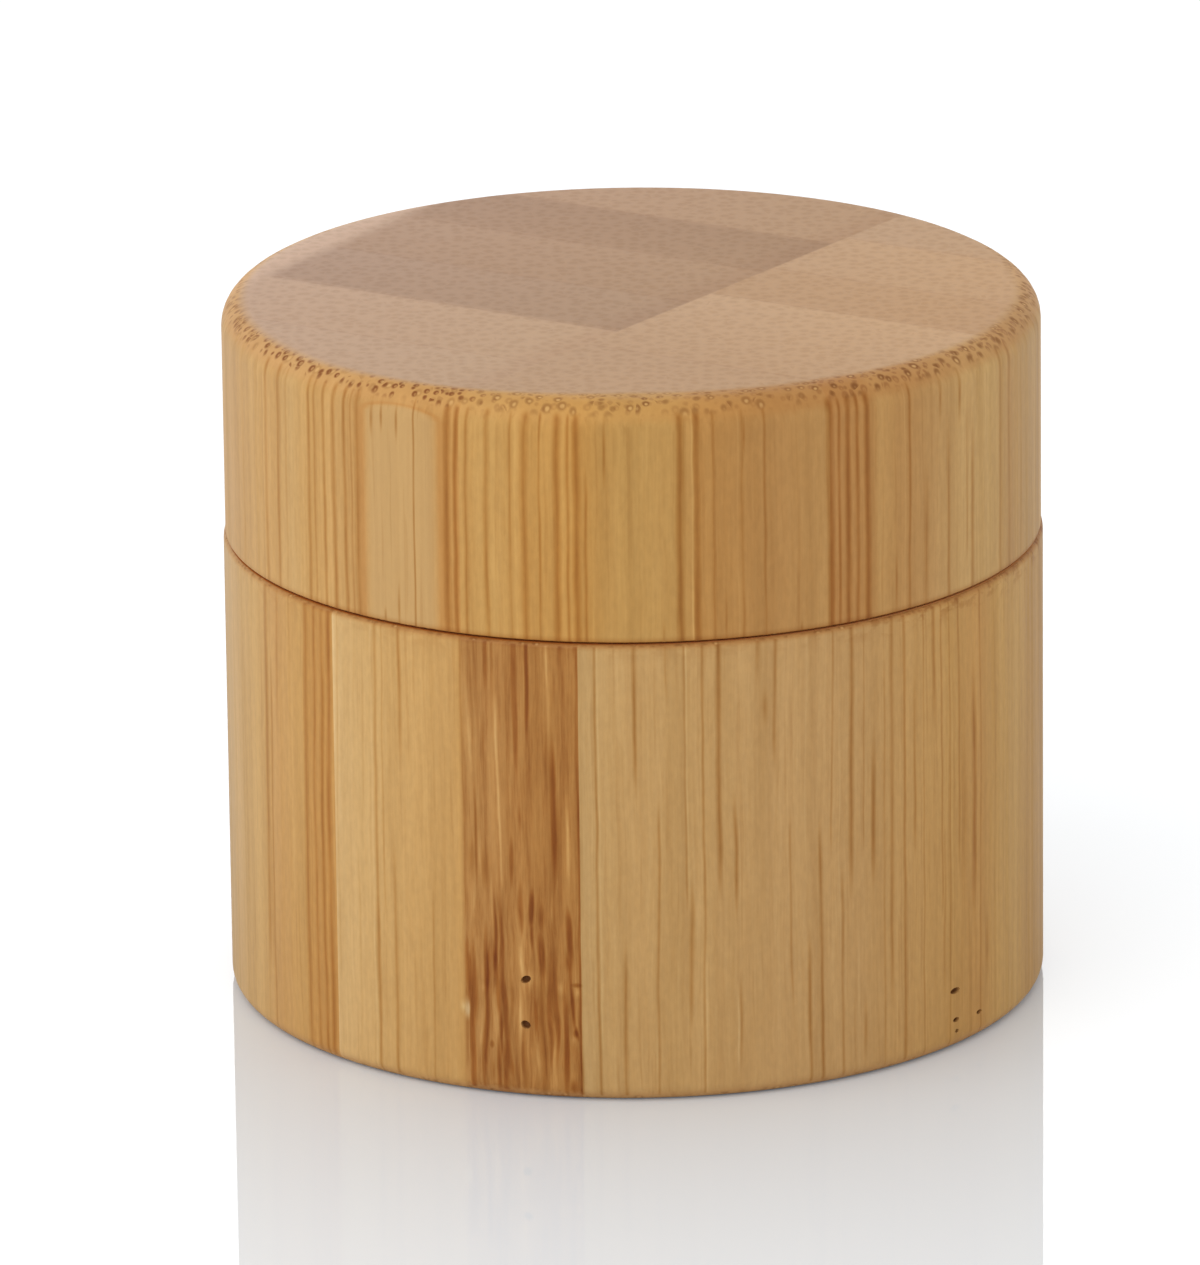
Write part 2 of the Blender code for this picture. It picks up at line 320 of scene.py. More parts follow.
def linked(name: str, data: bpy.types.ID) -> bpy.types.Object:
    """Put an object with that data into the scene.

    Args:
        name: The object's name.
        data: Its mesh, camera or light.

    Returns:
        The new object.
    """
    obj = bpy.data.objects.new(name, data)
    bpy.context.scene.collection.objects.link(obj)
    return obj


class ShapeTree:
    """A Geometry Nodes tree with named inputs, run once on a piece to give a plain mesh."""

    def __init__(self, name: str) -> None:
        """Start a tree that takes and gives geometry.

        Args:
            name: The tree's name.
        """
        self.tree = bpy.data.node_groups.new(name, "GeometryNodeTree")
        self.graph = Graph(self.tree)
        self.names: dict[str, str] = {}
        self.tree.interface.new_socket(name="Geometry", in_out="INPUT", socket_type="NodeSocketGeometry")
        self.tree.interface.new_socket(name="Geometry", in_out="OUTPUT", socket_type="NodeSocketGeometry")
        self.entry = self.tree.nodes.new("NodeGroupInput")

    def ask(self, name: str, kind: str = "Float") -> Socket:
        """Add a named input.

        Args:
            name: The input's name.
            kind: Float, Int or Material.

        Returns:
            The socket that carries it inside the tree.
        """
        item = self.tree.interface.new_socket(name=name, in_out="INPUT", socket_type="NodeSocket" + kind)
        self.names[name] = item.identifier
        return self.entry.outputs[name]

    def numbers(self, *names: str) -> list[Socket]:
        """Add a named input for each number."""
        return [self.ask(name) for name in names]

    def end(self, geometry: Socket, finish: Socket) -> None:
        """Realize what was made, give it its material and pass it out.

        Args:
            geometry: What was made.
            finish: The socket that carries the material.
        """
        real = self.graph.give("GeometryNodeRealizeInstances", {0: geometry})
        dressed = self.graph.give("GeometryNodeSetMaterial", {"Geometry": real, "Material": finish})
        self.graph.add("NodeGroupOutput", {0: dressed})

    def run(self, name: str, mesh: bpy.types.Mesh, values: dict[str, object]) -> bpy.types.Object:
        """Run the tree on a mesh.

        Args:
            name: The name of the finished object.
            mesh: The mesh that the tree starts from.
            values: What goes into the named inputs.

        Returns:
            An object at the origin with the plain resulting mesh.
        """
        obj = linked(name, mesh)
        modifier = obj.modifiers.new(name, "NODES")
        modifier.node_group = self.tree
        for label, value in values.items():
            modifier[self.names[label]] = value
        return settled(obj)


def settled(obj: bpy.types.Object) -> bpy.types.Object:
    """Turn an object's modifiers into its mesh.

    Args:
        obj: The object with its modifiers.

    Returns:
        The same object with a plain mesh.
    """
    bpy.context.view_layer.update()
    graph = bpy.context.evaluated_depsgraph_get()
    mesh = bpy.data.meshes.new_from_object(obj.evaluated_get(graph))
    obj.modifiers.clear()
    obj.data = mesh
    mesh.name = obj.name
    return obj


def combined(base: bpy.types.Object, tool: bpy.types.Object, operation: str) -> bpy.types.Object:
    """Join a tool to a piece, or cut it out of the piece, and weld the slivers that this leaves.

    Args:
        base: The piece.
        tool: The other solid, which is used up.
        operation: UNION or DIFFERENCE.

    Returns:
        The piece with its new mesh.
    """
    modifier = base.modifiers.new("fit", "BOOLEAN")
    modifier.operation = operation
    modifier.solver = "EXACT"
    modifier.object = tool
    settled(base)
    bpy.data.objects.remove(tool, do_unlink=True)
    shape = bmesh.new()
    shape.from_mesh(base.data)
    bmesh.ops.remove_doubles(shape, verts=shape.verts, dist=SLIVER)
    shape.to_mesh(base.data)
    shape.free()
    return base


def tool_from(shape: bmesh.types.BMesh, name: str, finish: bpy.types.Material) -> bpy.types.Object:
    """Turn a drawn solid into a tool to join or cut with.

    Args:
        shape: The solid, which is used up.
        name: The tool's name.
        finish: The material that it leaves on the piece.

    Returns:
        The tool.
    """
    mesh = bpy.data.meshes.new(name)
    shape.to_mesh(mesh)
    shape.free()
    mesh.materials.append(finish)
    return linked(name, mesh)


def lathe_tree() -> ShapeTree:
    """Make the tree that turns a section round the jar's axis.

    Returns:
        The tree, which sweeps its section along a circle and closes it on the axis.
    """
    shape = ShapeTree("turned_piece")
    steps = shape.ask("Steps", "Int")
    guide, weld = shape.numbers("Guide Radius", "Weld Distance")
    finish = shape.ask("Finish", "Material")
    g = shape.graph
    inward = g.joined(X=g.times(guide, -1.0))
    moved = g.give("GeometryNodeTransform", {"Geometry": shape.entry.outputs[0], "Translation": inward})
    section = g.give("GeometryNodeMeshToCurve", {"Mesh": moved})
    circle = g.give("GeometryNodeCurvePrimitiveCircle", {"Resolution": steps, "Radius": guide})
    swept = g.give("GeometryNodeCurveToMesh", {"Curve": circle, "Profile Curve": section})
    closed = g.give("GeometryNodeMergeByDistance", {"Geometry": swept, "Distance": weld})
    shape.end(closed, finish)
    return shape


def rib_tree() -> ShapeTree:
    """Make the tree that sets upright ribs evenly round the axis.

    Returns:
        The tree, which repeats one block on the points of a circle.
    """
    shape = ShapeTree("upright_ribs")
    count = shape.ask("Count", "Int")
    inner, outer, width = shape.numbers("Inner Radius", "Outer Radius", "Width")
    foot, head = shape.numbers("Foot", "Head")
    finish = shape.ask("Finish", "Material")
    g = shape.graph
    middle = g.times(g.math("ADD", inner, outer), 0.5)
    size = g.joined(X=g.math("SUBTRACT", outer, inner), Y=width, Z=g.math("SUBTRACT", head, foot))
    block = g.give("GeometryNodeMeshCube", {"Size": size})
    ring = g.give("GeometryNodeMeshCircle", {"Vertices": count, "Radius": middle})
    index = g.give("GeometryNodeInputIndex")
    turn = g.joined(Z=g.math("DIVIDE", g.times(index, math.tau), count))
    ribs = g.give("GeometryNodeInstanceOnPoints", {"Points": ring, "Instance": block, "Rotation": turn})
    lift = g.joined(Z=g.times(g.math("ADD", foot, head), 0.5))
    placed = g.give("GeometryNodeTransform", {"Geometry": ribs, "Translation": lift})
    shape.end(placed, finish)
    return shape


def thread_tree() -> ShapeTree:
    """Make the tree that winds a screw thread's ridge, with its ends run out into the wall.

    Returns:
        The tree, which sweeps a trapezoid along a right-handed helix.
    """
    shape = ShapeTree("screw_thread")
    steps = shape.ask("Steps", "Int")
    turns, lead, radius, depth = shape.numbers("Turns", "Lead", "Wall Radius", "Depth")
    root, crest, facing = shape.numbers("Root Width", "Crest Width", "Facing")
    foot, start, run_out = shape.numbers("Foot", "Start Angle", "Run Out Share")
    finish = shape.ask("Finish", "Material")
    g = shape.graph
    winding = {
        "Resolution": steps,
        "Rotations": turns,
        "Start Radius": radius,
        "End Radius": radius,
        "Height": g.times(turns, lead),
        "Reverse": True,
    }
    helix = g.give("GeometryNodeCurveSpiral", winding)
    upright = g.give("GeometryNodeSetCurveNormal", {0: helix}, mode="Z_UP")
    trapezoid = {"Bottom Width": root, "Top Width": crest, "Height": depth, "Offset": 0.0}
    outline = g.give("GeometryNodeCurvePrimitiveQuadrilateral", trapezoid, mode="TRAPEZOID")
    turned = g.joined(Z=g.times(facing, -math.pi / 2))
    outline = g.give("GeometryNodeTransform", {"Geometry": outline, "Rotation": turned})
    along = g.add("GeometryNodeSplineParameter").outputs["Factor"]
    from_end = g.math("MINIMUM", along, g.rest(along))
    size = g.math("DIVIDE", from_end, run_out, clamp=True)
    size = g.math("MAXIMUM", g.math("POWER", size, RUN_OUT_CURVE), THREAD_TIP)
    sweep = {"Curve": upright, "Profile Curve": outline, "Scale": size, "Fill Caps": True}
    ridge = g.give("GeometryNodeCurveToMesh", sweep)
    placing = {"Geometry": ridge, "Translation": g.joined(Z=foot), "Rotation": g.joined(Z=start)}
    placed = g.give("GeometryNodeTransform", placing)
    shape.end(placed, finish)
    return shape


@dataclass(frozen=True)
class Corner:
    """A corner of a turned section, with the round on it."""

    radius: float
    height: float
    round: float = 0.0


def section_points(corners: Sequence[Corner], steps: int = 8, hold: float = 0.12 * MM) -> list[Vector]:
    """Round the corners of a section.

    Args:
        corners: The section's corners, from the axis round to the axis.
        steps: Facets in each round.
        hold: How far beside each round a point holds the flat face, so that it shades flat.

    Returns:
        The section's points as radius and height.
    """
    places = [Vector((corner.radius, corner.height)) for corner in corners]
    points: list[Vector] = []
    for index, corner in enumerate(corners):
        here = places[index]
        if corner.round == 0.0:
            points.append(here)
            continue
        back = places[index - 1] - here
        ahead = places[index + 1] - here
        half = back.angle(ahead) / 2
        reach = corner.round / math.tan(half)
        start = here + back.normalized() * reach
        end = here + ahead.normalized() * reach
        inwards = (back.normalized() + ahead.normalized()).normalized()
        centre = here + inwards * (corner.round / math.sin(half))
        first = math.atan2(*(start - centre).yx)
        sweep = math.remainder(math.atan2(*(end - centre).yx) - first, math.tau)
        if back.length > reach + hold:
            points.append(here + back.normalized() * (reach + hold))
        for step in range(steps + 1):
            angle = first + sweep * step / steps
            points.append(centre + corner.round * Vector((math.cos(angle), math.sin(angle))))
        if ahead.length > reach + hold:
            points.append(here + ahead.normalized() * (reach + hold))
    return points


def section_mesh(name: str, corners: Sequence[Corner]) -> bpy.types.Mesh:
    """Draw a section as a chain of edges, head down, which is how the sweep lays it on the circle.

    Args:
        name: The mesh's name.
        corners: The section's corners.

    Returns:
        The chain in the XY plane.
    """
    points = section_points(corners)
    mesh = bpy.data.meshes.new(name)
    edges = [(index, index + 1) for index in range(len(points) - 1)]
    mesh.from_pydata([(point.x, -point.y, 0.0) for point in points], edges, [])
    return mesh


@dataclass
class TurnedPiece:
    """A piece turned on the jar's axis, which stands for one node of the frame."""

    name: str
    node: str
    body: Body
    slot: Slot
    steps: int = 384
    sharp_angle: float = math.radians(32.0)
    guide_radius: float = 10 * MM
    weld_distance: float = SLIVER
    low: Vector = field(init=False)
    high: Vector = field(init=False)

    def __post_init__(self) -> None:
        """Read the node's box, which sets the piece's outer sizes."""
        self.low, self.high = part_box(self.node)

    def corners(self) -> list[Corner]:
        """Return the section's corners, from the axis up, out, down and back to the axis."""
        raise NotImplementedError

    def material(self) -> bpy.types.Material:
        """Return the piece's finish."""
        raise NotImplementedError

    def detail(self, obj: bpy.types.Object, finish: bpy.types.Material) -> bpy.types.Object:
        """Add what isn't turned, such as ribs or a thread."""
        return obj

    def build(self) -> None:
        """Turn the section, add its details, shade it and hang it on the frame."""
        finish = self.material()
        values = {
            "Steps": self.steps,
            "Guide Radius": self.guide_radius,
            "Weld Distance": self.weld_distance,
            "Finish": finish,
        }
        obj = lathe_tree().run(self.name, section_mesh(self.name, self.corners()), values)
        obj = self.detail(obj, finish)
        obj.data.shade_smooth()
        obj.data.set_sharp_from_angle(angle=self.sharp_angle)
        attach(obj, self.body.value)
        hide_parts(self.node)
        log.info("%s: %d faces, rides on %s", self.name, len(obj.data.polygons), self.body.value)


@dataclass(frozen=True)
class Mark:
    """A streak in the side of a bamboo shell, pointed at both ends.

    The azimuth is in degrees from the front, to the right. Heights and the width are in millimetres. The
    drift says how many degrees the head stands to the right of the foot.
    """

    azimuth: float
    foot: float
    head: float
    width: float = 0.30
    strength: float = 0.8
    drift: float = 0.0
    tone: Tone = Tone.STREAK


@dataclass(frozen=True)
class Strips:
    """The strips that a bamboo blank is glued up from, as columns of rows seen from above.

    The turn is in degrees. Edges are in millimetres across the blank. A row's shades are its brightness at
    the lower and upper edge and its warmth. A column's slant is how far its edge leans per millimetre, and
    its blur how softly that edge shows.
    """

    turn: float
    column_edges: tuple[float, ...]
    column_slants: tuple[float, ...]
    column_blurs: tuple[float, ...]
    row_edges: tuple[tuple[float, ...], ...]
    row_shades: tuple[tuple[Triple, ...], ...]


@dataclass
class Place:
    """Where a point of the bamboo lies, as sockets in millimetres and degrees."""

    point: Socket
    plain: Socket
    z: Socket
    azimuth: Socket
    behind: Socket
    arc: Socket
    reach: Socket
    level: Socket
    across: Socket
    along: Socket


@dataclass
class Weave:
    """The patterns at a point of the bamboo, as sockets.

    The rim, the heart and the fine ones are the fibre bundles' sheaths and vessels. Flat is where the end
    grain shows, upright where a fibre is cut lengthways, and edge the round between the two.
    """

    rim: Socket
    heart: Socket
    away: Socket
    fine_rim: Socket
    fine_heart: Socket
    fibre: Socket
    band: Socket
    strand: Socket
    flat: Socket
    upright: Socket
    edge: Socket


# Noise patterns: steps per millimetre across and up, octaves, roughness
SLOW_BEND = Grain((0.10, 0.10, 0.05), 1.0)
QUICK_BEND = Grain((0.8, 0.8, 0.25), 1.0)
FIBRE = Grain((6.5, 6.5, 0.30), 3.0, 0.6)
BAND = Grain((0.9, 0.9, 0.03))
LOOSE_STRANDS = Grain((3.4, 3.4, 0.09), 1.0)
SPECK = Grain((3.6, 3.6, 1.6))
KNOT = Grain((2.2, 2.2, 0.12), 4.0, 0.66)
FLAME = Grain((1.5, 1.5, 0.17), 3.0, 0.6)
FADE = Grain((1.4, 1.4, 0.16))
# Patches of the painted shade just under the lid
UNDER_LID_SHADE_NOISE = Grain((0.9, 0.9, 1.4), 3.0, 0.6)
FLOW = Grain((0.12, 0.12, 0.12))

# How far the fibres wander in millimetres, more so in the strip from the node
MIDDLE = (0.5, 0.5, 0.5)
LEVEL_ONLY = (1.0, 1.0, 0.0)
SLOW_REACH = (0.6, 0.6, 0.0)
QUICK_REACH = (0.18, 0.18, 0.0)
NODE_SWELL = 2.0
NODE_BLUR = 1.0
NODE_TOP_BLUR = 2.0
NODE_EDGE = (-0.3, 0.5)
FLAME_HEIGHTS = (10.5, 7.5)

# How a row's green and blue follow its brightness, as a power, and its warmth, as a share
ROW_GREEN = (1.15, 1 / 3)
ROW_BLUE = (1.2, 1.0)

# The glue lines between the strips, and the shade beside them
ROW_BLUR = 0.008
GLUE_WIDTH = (0.16, 0.02)
GLUE_SHARE = 0.10
GLUE_FADE = (2.6, 0.0)
GLUE_DARKNESS = 0.16

# Where the noise patterns start and end to count
FIBRE_RANGE = (0.2, 0.8)
GRAIN_RANGE = (0.3, 0.7)
CELL_RANGE = (0.0, 0.6)

# How level a surface is where each way of cutting the fibres starts and ends, and where the back starts
FLAT_LEVEL = (0.80, 0.96)
FLAT_INSET = (-0.35, 0.45)
UPRIGHT_LEVEL = (0.74, 0.46)
ROUND_LEVEL = (0.20, 0.60)
BACK_START = (78.0, 102.0)
EDGE_TINT_SHARE = 0.50

# Loose strands and placed streaks
STRAND_RANGE = (0.60, 0.72)
FRONT_STRANDS = 0.25
BACK_STRANDS = 0.4
FADE_RANGE = (0.36, 0.56, 0.66, 1.0)
COVER_RANGE = (0.0, 0.95)
SHORT_STRETCH = 1.25

# Fibre bundles: their pitch, the thinnest and the thickest radius, and how their parts show
MAIN_BUNDLES = (0.80, 0.19, 0.30)
FINE_BUNDLES = (0.58, 0.13, 0.23)
BUNDLE_SQUASH = (1.0, 1.0, 0.35)
BUNDLE_SCATTER = 0.8
SHEATH_BLUR = (1.25, 0.60)
HEART_BLUR = (0.62, 0.18)
HEART_SHIFT = (-0.03, 0.05)
FINE_HEART_SHARE = 0.5
LEAST_COMMAS = 0.05
FRONT_SHEATHS = 0.03
BACK_SHEATHS = 0.45
BACK_HEARTS = 0.3
EDGE_HEARTS = 0.45
END_SHEATHS = 0.07

# Painted shade along the seam, the painted shadow in its gap, and patchy painted shade just under the lid:
# reach in millimetres, turn in degrees
SEAM_SHADOW_WIDTH = (0.085, 0.06)
SEAM_SHADOW_TURN = (-20.0, 40.0)
SEAM_SHADE_REACH = (0.44, 0.06)
SEAM_SHADE_TURN = (-80.0, -45.0, 0.3, 1.0)
SEAM_SHADE_SHARE = 0.75
UNDER_LID_SHADE_PATCHES = (0.46, 0.62)
UNDER_LID_SHADE_REACH = (1.5, 0.1)
UNDER_LID_SHADE_TURN = (22.0, 46.0, 0.25, 0.9)

# The node's pits and the thin pale strip in the lid
PIT_BLUR = (0.04, 0.22)
PIT_REACH = 1.2
PIT_HEIGHTS = (0.8, 24.0)
PIT_SHARE = 0.9
PLANK_BLUR = (-0.01, 0.06)
SKIN_INSIDE = (-0.07, -0.01)
SKIN_OUTSIDE = (0.03, -0.01)
PLANK_SKIN_SHARE = 0.34
PLANK_SHARE = 0.60

# Tints along the patterns
BAND_TINTS = ((0.30, srgb(244, 240, 233)), (0.70, grey(1.05)))
FIBRE_TINTS = ((0.25, srgb(248, 243, 234)), (0.75, grey(1.03)))
SPECK_TINTS = ((0.35, grey(0.965)), (0.65, grey(1.03)))
BUNDLE_TINTS = ((0.12, grey(0.945)), (0.55, grey(1.03)))
END_FIBRE_TINTS = ((0.25, grey(0.95)), (0.75, grey(1.04)))
FLOW_TINTS = ((0.35, grey(0.975)), (0.65, grey(1.0)))
CELL_TINTS = ((0.0, grey(0.93)), (0.5, grey(1.0)))
KNOT_TINTS = (
    (0.32, (0.74, 0.62, 0.48, 1.0)),
    (0.50, grey(1.0)),
    (0.68, (1.16, 1.26, 1.40, 1.0)),
)
FLAME_TINTS = (
    (0.36, (0.76, 0.58, 0.36, 1.0)),
    (0.47, grey(1.0)),
    (0.56, grey(1.0)),
    (0.66, (1.14, 1.20, 1.30, 1.0)),
)
# Painted sheen across the end grain: paler and cooler towards the left, warmer towards the right
END_SHEEN_TINTS = (
    (0.08, (1.04, 1.08, 1.25, 1.0)),
    (0.28, (1.02, 1.03, 1.10, 1.0)),
    (0.50, grey(1.0)),
    (0.85, (1.04, 1.0, 0.90, 1.0)),
)
EDGE_STOPS = (
    (-180.0, srgb(196, 146, 90)),
    (-60.0, srgb(206, 154, 98)),
    (-5.0, srgb(204, 152, 82)),
    (24.0, srgb(176, 120, 62)),
    (60.0, srgb(184, 130, 74)),
    (180.0, srgb(196, 146, 90)),
)
STAIN_SHARES = (0.0, 0.25, 0.5, 0.75, 1.0)

# Tints and colours of the wood's parts
STRAND = (0.74, 0.62, 0.46, 1.0)
# Painted shade beside the seam, and patchy painted shade just under the lid
SEAM_SHADE_TINT = (0.74, 0.58, 0.38, 1.0)
UNDER_LID_SHADE = (0.72, 0.58, 0.42, 1.0)
SHEATH = srgb(122, 72, 28)
FINE_SHEATH = srgb(134, 78, 32)
END_SHEATH = srgb(150, 106, 76)
VESSELS = srgb(216, 172, 110)
PIT_BROWN = srgb(104, 62, 30)
GLUE_LINE = srgb(190, 140, 110)
GLUE_SHADE = srgb(206, 180, 165)
PLANK_SKIN = srgb(180, 118, 54)
PLANK_WOOD = srgb(197, 162, 110)
# The painted shadow in the seam's gap, darker on the left than on the right
SEAM_SHADOW_LEFT = srgb(186, 108, 40)
SEAM_SHADOW_RIGHT = srgb(208, 148, 90)


def row_colour(shade: float, warmth: float) -> Colour:
    """Return a row's tint: a darker or warmer row is also redder."""
    green, blue = (shade ** power * (1 - warmth * share) for power, share in (ROW_GREEN, ROW_BLUE))
    return (shade, green, blue, 1.0)


@dataclass(frozen=True)
class BambooFinish:
    """Turned, sanded and oiled bamboo with its fibre bundles upright."""

    name: str
    strips: Strips
    marks: tuple[Mark, ...]
    tone_and_light_sectors: tuple[Sector, ...]
    radius_mm: float
    bundle_length_mm: float
    shift_mm: Triple
    side: Colour = srgb(196, 155, 105)
    end: Colour = srgb(181, 145, 112)
    edge_stops: ColourStops = EDGE_STOPS
    ring_stops: LevelStops = ((-180.0, 0.35), (180.0, 0.35))
    comma_stops: LevelStops = ((-180.0, 0.2), (180.0, 0.2))
    plank_azimuth: float | None = None
    plank_depth_mm: float = 0.12
    node_zone: Triple | None = None
    reach_mm: float = 22.0
    seam_mm: float = 25.25
    burnish_stops: LevelStops = ((-180.0, 0.5), (180.0, 0.5))
    taper: float = 16.0
    spread: float = 1.5
    roughness: tuple[float, float] = (0.46, 0.58)
    sheath_roughness: float = 0.10
    fibre_relief: float = 0.22
    sheath_relief: float = -0.4
    relief: float = 0.3
    relief_depth: float = 0.04 * MM
    ior: float = 1.46
    sheen: float = 0.2

    def build(self) -> bpy.types.Material:
        """Make the material.

        Returns:
            A Principled material whose colour, roughness and bump come from the solid pattern.
        """
        material, g, shader = started(self.name)
        place = self.place(g)
        shade = self.strip_shade(g, place)
        weave = self.weave(g, place)
        side = self.side_colour(g, place, weave, shade)
        end = self.end_colour(g, place, weave, shade)
        colour = g.mix(weave.flat, side, end)
        colour = g.mix(g.times(self.pits(g, place), PIT_SHARE), colour, PIT_BROWN)
        g.put(colour, shader.inputs["Base Color"])
        rough = g.remap(weave.fibre, *FIBRE_RANGE, *self.roughness)
        g.put(g.math("MULTIPLY_ADD", weave.rim, self.sheath_roughness, rough), shader.inputs["Roughness"])
        dips = g.times(weave.rim, g.times(weave.edge, self.sheath_relief))
        height = g.math("MULTIPLY_ADD", weave.fibre, self.fibre_relief, dips)
        g.put(g.bump(height, self.relief, self.relief_depth), shader.inputs["Normal"])
        shader.inputs["IOR"].default_value = self.ior
        shader.inputs["Specular IOR Level"].default_value = self.sheen
        return material

    def weave(self, g: Graph, place: Place) -> Weave:
        """Grow the fibres, and sort the surface by how it cuts them.

        Args:
            g: The material's tree.
            place: The point in the blank.

        Returns:
            The patterns at that point.
        """
        rim, heart, away = self.bundles(g, place, *MAIN_BUNDLES)
        fine_rim, fine_heart, _ = self.bundles(g, place, *FINE_BUNDLES)
        fibre = g.noise(place.point, FIBRE)
        band = g.noise(place.point, BAND)
        strand = g.noise(place.point, LOOSE_STRANDS)
        burnish = self.level_about(g, place, self.burnish_stops)
        inset = g.math("SUBTRACT", g.math("SUBTRACT", self.radius_mm, place.reach), burnish)
        flat = g.times(g.remap(place.level, *FLAT_LEVEL), g.remap(inset, *FLAT_INSET))
        upright = g.remap(place.level, *UPRIGHT_LEVEL)
        edge = g.times(g.rest(upright), g.rest(flat))
        return Weave(rim, heart, away, fine_rim, fine_heart, fibre, band, strand, flat, upright, edge)

    def side_colour(self, g: Graph, place: Place, weave: Weave, shade: Socket) -> Socket:
        """Colour the side and the rounds.

        Args:
            g: The material's tree.
            place: The point in the blank.
            weave: The patterns there.
            shade: The shade of the strips.

        Returns:
            The side's colour with its bundles, streaks and seam.
        """
        # Strip tones round the side, with painted sheen towards the left and, on the body, painted shade
        # towards the right
        side = g.tinted(self.side, self.side_tone_and_light(g, place, shade))
        side = g.tinted(side, g.ramp(weave.band, BAND_TINTS))
        side = g.tinted(side, g.ramp(weave.fibre, FIBRE_TINTS))
        side = g.tinted(side, g.ramp(g.noise(place.plain, SPECK), SPECK_TINTS))
        side = self.node_grain(g, place, side)
        side = self.plank(g, place, side)
        rounded = g.times(g.remap(place.level, *ROUND_LEVEL), g.rest(weave.flat))
        side = g.mix(g.times(rounded, EDGE_TINT_SHARE), side, self.round_about(g, place, self.edge_stops))
        thin = g.math("MULTIPLY_ADD", place.behind, BACK_STRANDS, FRONT_STRANDS)
        thin = g.times(g.remap(weave.strand, *STRAND_RANGE), thin, weave.upright)
        side = g.tinted(side, STRAND, thin)
        commas = self.level_about(g, place, self.comma_stops)
        comma = g.math("MAXIMUM", weave.fine_rim, g.times(weave.fine_heart, FINE_HEART_SHARE))
        faint = g.times(comma, g.math("MAXIMUM", LEAST_COMMAS, g.times(weave.edge, commas)))
        side = g.mix(faint, side, FINE_SHEATH)
        ringed = g.times(weave.edge, self.level_about(g, place, self.ring_stops))
        weight = g.math("MAXIMUM", g.math("MULTIPLY_ADD", place.behind, BACK_SHEATHS, FRONT_SHEATHS), ringed)
        side = g.mix(g.times(weave.rim, weight), side, SHEATH)
        side = self.marked(g, place, side, weave.upright)
        # Painted shade along the seam and just under the lid
        side = self.painted_seam_shade(g, place, side)
        light = g.math("MAXIMUM", g.times(place.behind, BACK_HEARTS), g.times(weave.edge, EDGE_HEARTS))
        return g.mix(g.times(weave.heart, light), side, VESSELS)

    def end_colour(self, g: Graph, place: Place, weave: Weave, shade: Socket) -> Socket:
        """Colour the end grain, with a painted sheen across it.

        Args:
            g: The material's tree.
            place: The point in the blank.
            weave: The patterns there.
            shade: The shade of the strips.

        Returns:
            The colour of the flat faces on top and below.
        """
        end = g.tinted(self.end, shade)
        # Painted sheen across the top: paler and cooler to the left, warmer to the right
        across = g.math("MULTIPLY_ADD", place.across, 1 / (2 * self.reach_mm), 0.5)
        end = g.tinted(end, g.ramp(across, END_SHEEN_TINTS))
        end = g.tinted(end, g.ramp(weave.away, BUNDLE_TINTS))
        end = g.mix(g.times(weave.fine_rim, END_SHEATHS), end, END_SHEATH)
        return g.tinted(end, g.ramp(weave.fibre, END_FIBRE_TINTS))

    def place(self, g: Graph) -> Place:
        """Work out where a point lies in the blank.

        Args:
            g: The material's tree.

        Returns:
            The point's coordinates, with a slow wander so that no fibre is quite straight.
        """
        coordinates = g.add("ShaderNodeTexCoord")
        plain = g.scaled(coordinates.outputs["Object"], MM_PER_METRE)
        x, y, z = g.split(plain)
        azimuth = g.times(g.math("ARCTAN2", x, g.times(y, -1.0)), math.degrees(1.0))
        slow = g.noise(plain, SLOW_BEND, "Color")
        quick = g.noise(plain, QUICK_BEND, "Color")
        wander = g.vector("MULTIPLY", g.vector("SUBTRACT", slow, MIDDLE), SLOW_REACH)
        shiver = g.vector("MULTIPLY", g.vector("SUBTRACT", quick, MIDDLE), QUICK_REACH)
        if self.node_zone is not None:
            left, right, top = self.node_zone
            from_left = g.remap(azimuth, left - NODE_BLUR, left + NODE_BLUR)
            from_right = g.remap(azimuth, right + NODE_BLUR, right - NODE_BLUR)
            below = g.remap(z, top + NODE_TOP_BLUR, top - NODE_TOP_BLUR)
            zone = g.times(from_left, from_right, below)
            shiver = g.scaled(shiver, g.math("MULTIPLY_ADD", zone, NODE_SWELL, 1.0))
        point = g.vector("ADD", g.vector("ADD", plain, wander), shiver)
        bent_x, bent_y, _ = g.split(point)
        bent = g.math("ARCTAN2", bent_x, g.times(bent_y, -1.0))
        turn = math.radians(self.strips.turn)
        return Place(
            point=point,
            plain=plain,
            z=z,
            azimuth=azimuth,
            behind=g.remap(g.math("ABSOLUTE", azimuth), *BACK_START),
            arc=g.times(bent, self.radius_mm),
            reach=g.measure("LENGTH", g.vector("MULTIPLY", plain, LEVEL_ONLY)),
            level=g.math("ABSOLUTE", g.split(coordinates.outputs["Normal"])[2]),
            across=g.dot(plain, (math.cos(turn), math.sin(turn), 0.0)),
            along=g.dot(plain, (-math.sin(turn), math.cos(turn), 0.0)),
        )

    def round_about(self, g: Graph, place: Place, stops: ColourStops) -> Socket:
        """Return a colour that changes round the piece, from stops at azimuths in degrees."""
        share = g.math("MULTIPLY_ADD", place.azimuth, 1 / 360, 0.5)
        return g.ramp(share, [(azimuth / 360 + 0.5, colour) for azimuth, colour in stops])

    def level_about(self, g: Graph, place: Place, stops: LevelStops) -> Socket:
        """Return a number that changes round the piece, from stops at azimuths in degrees."""
        return self.round_about(g, place, [(azimuth, grey(level)) for azimuth, level in stops])

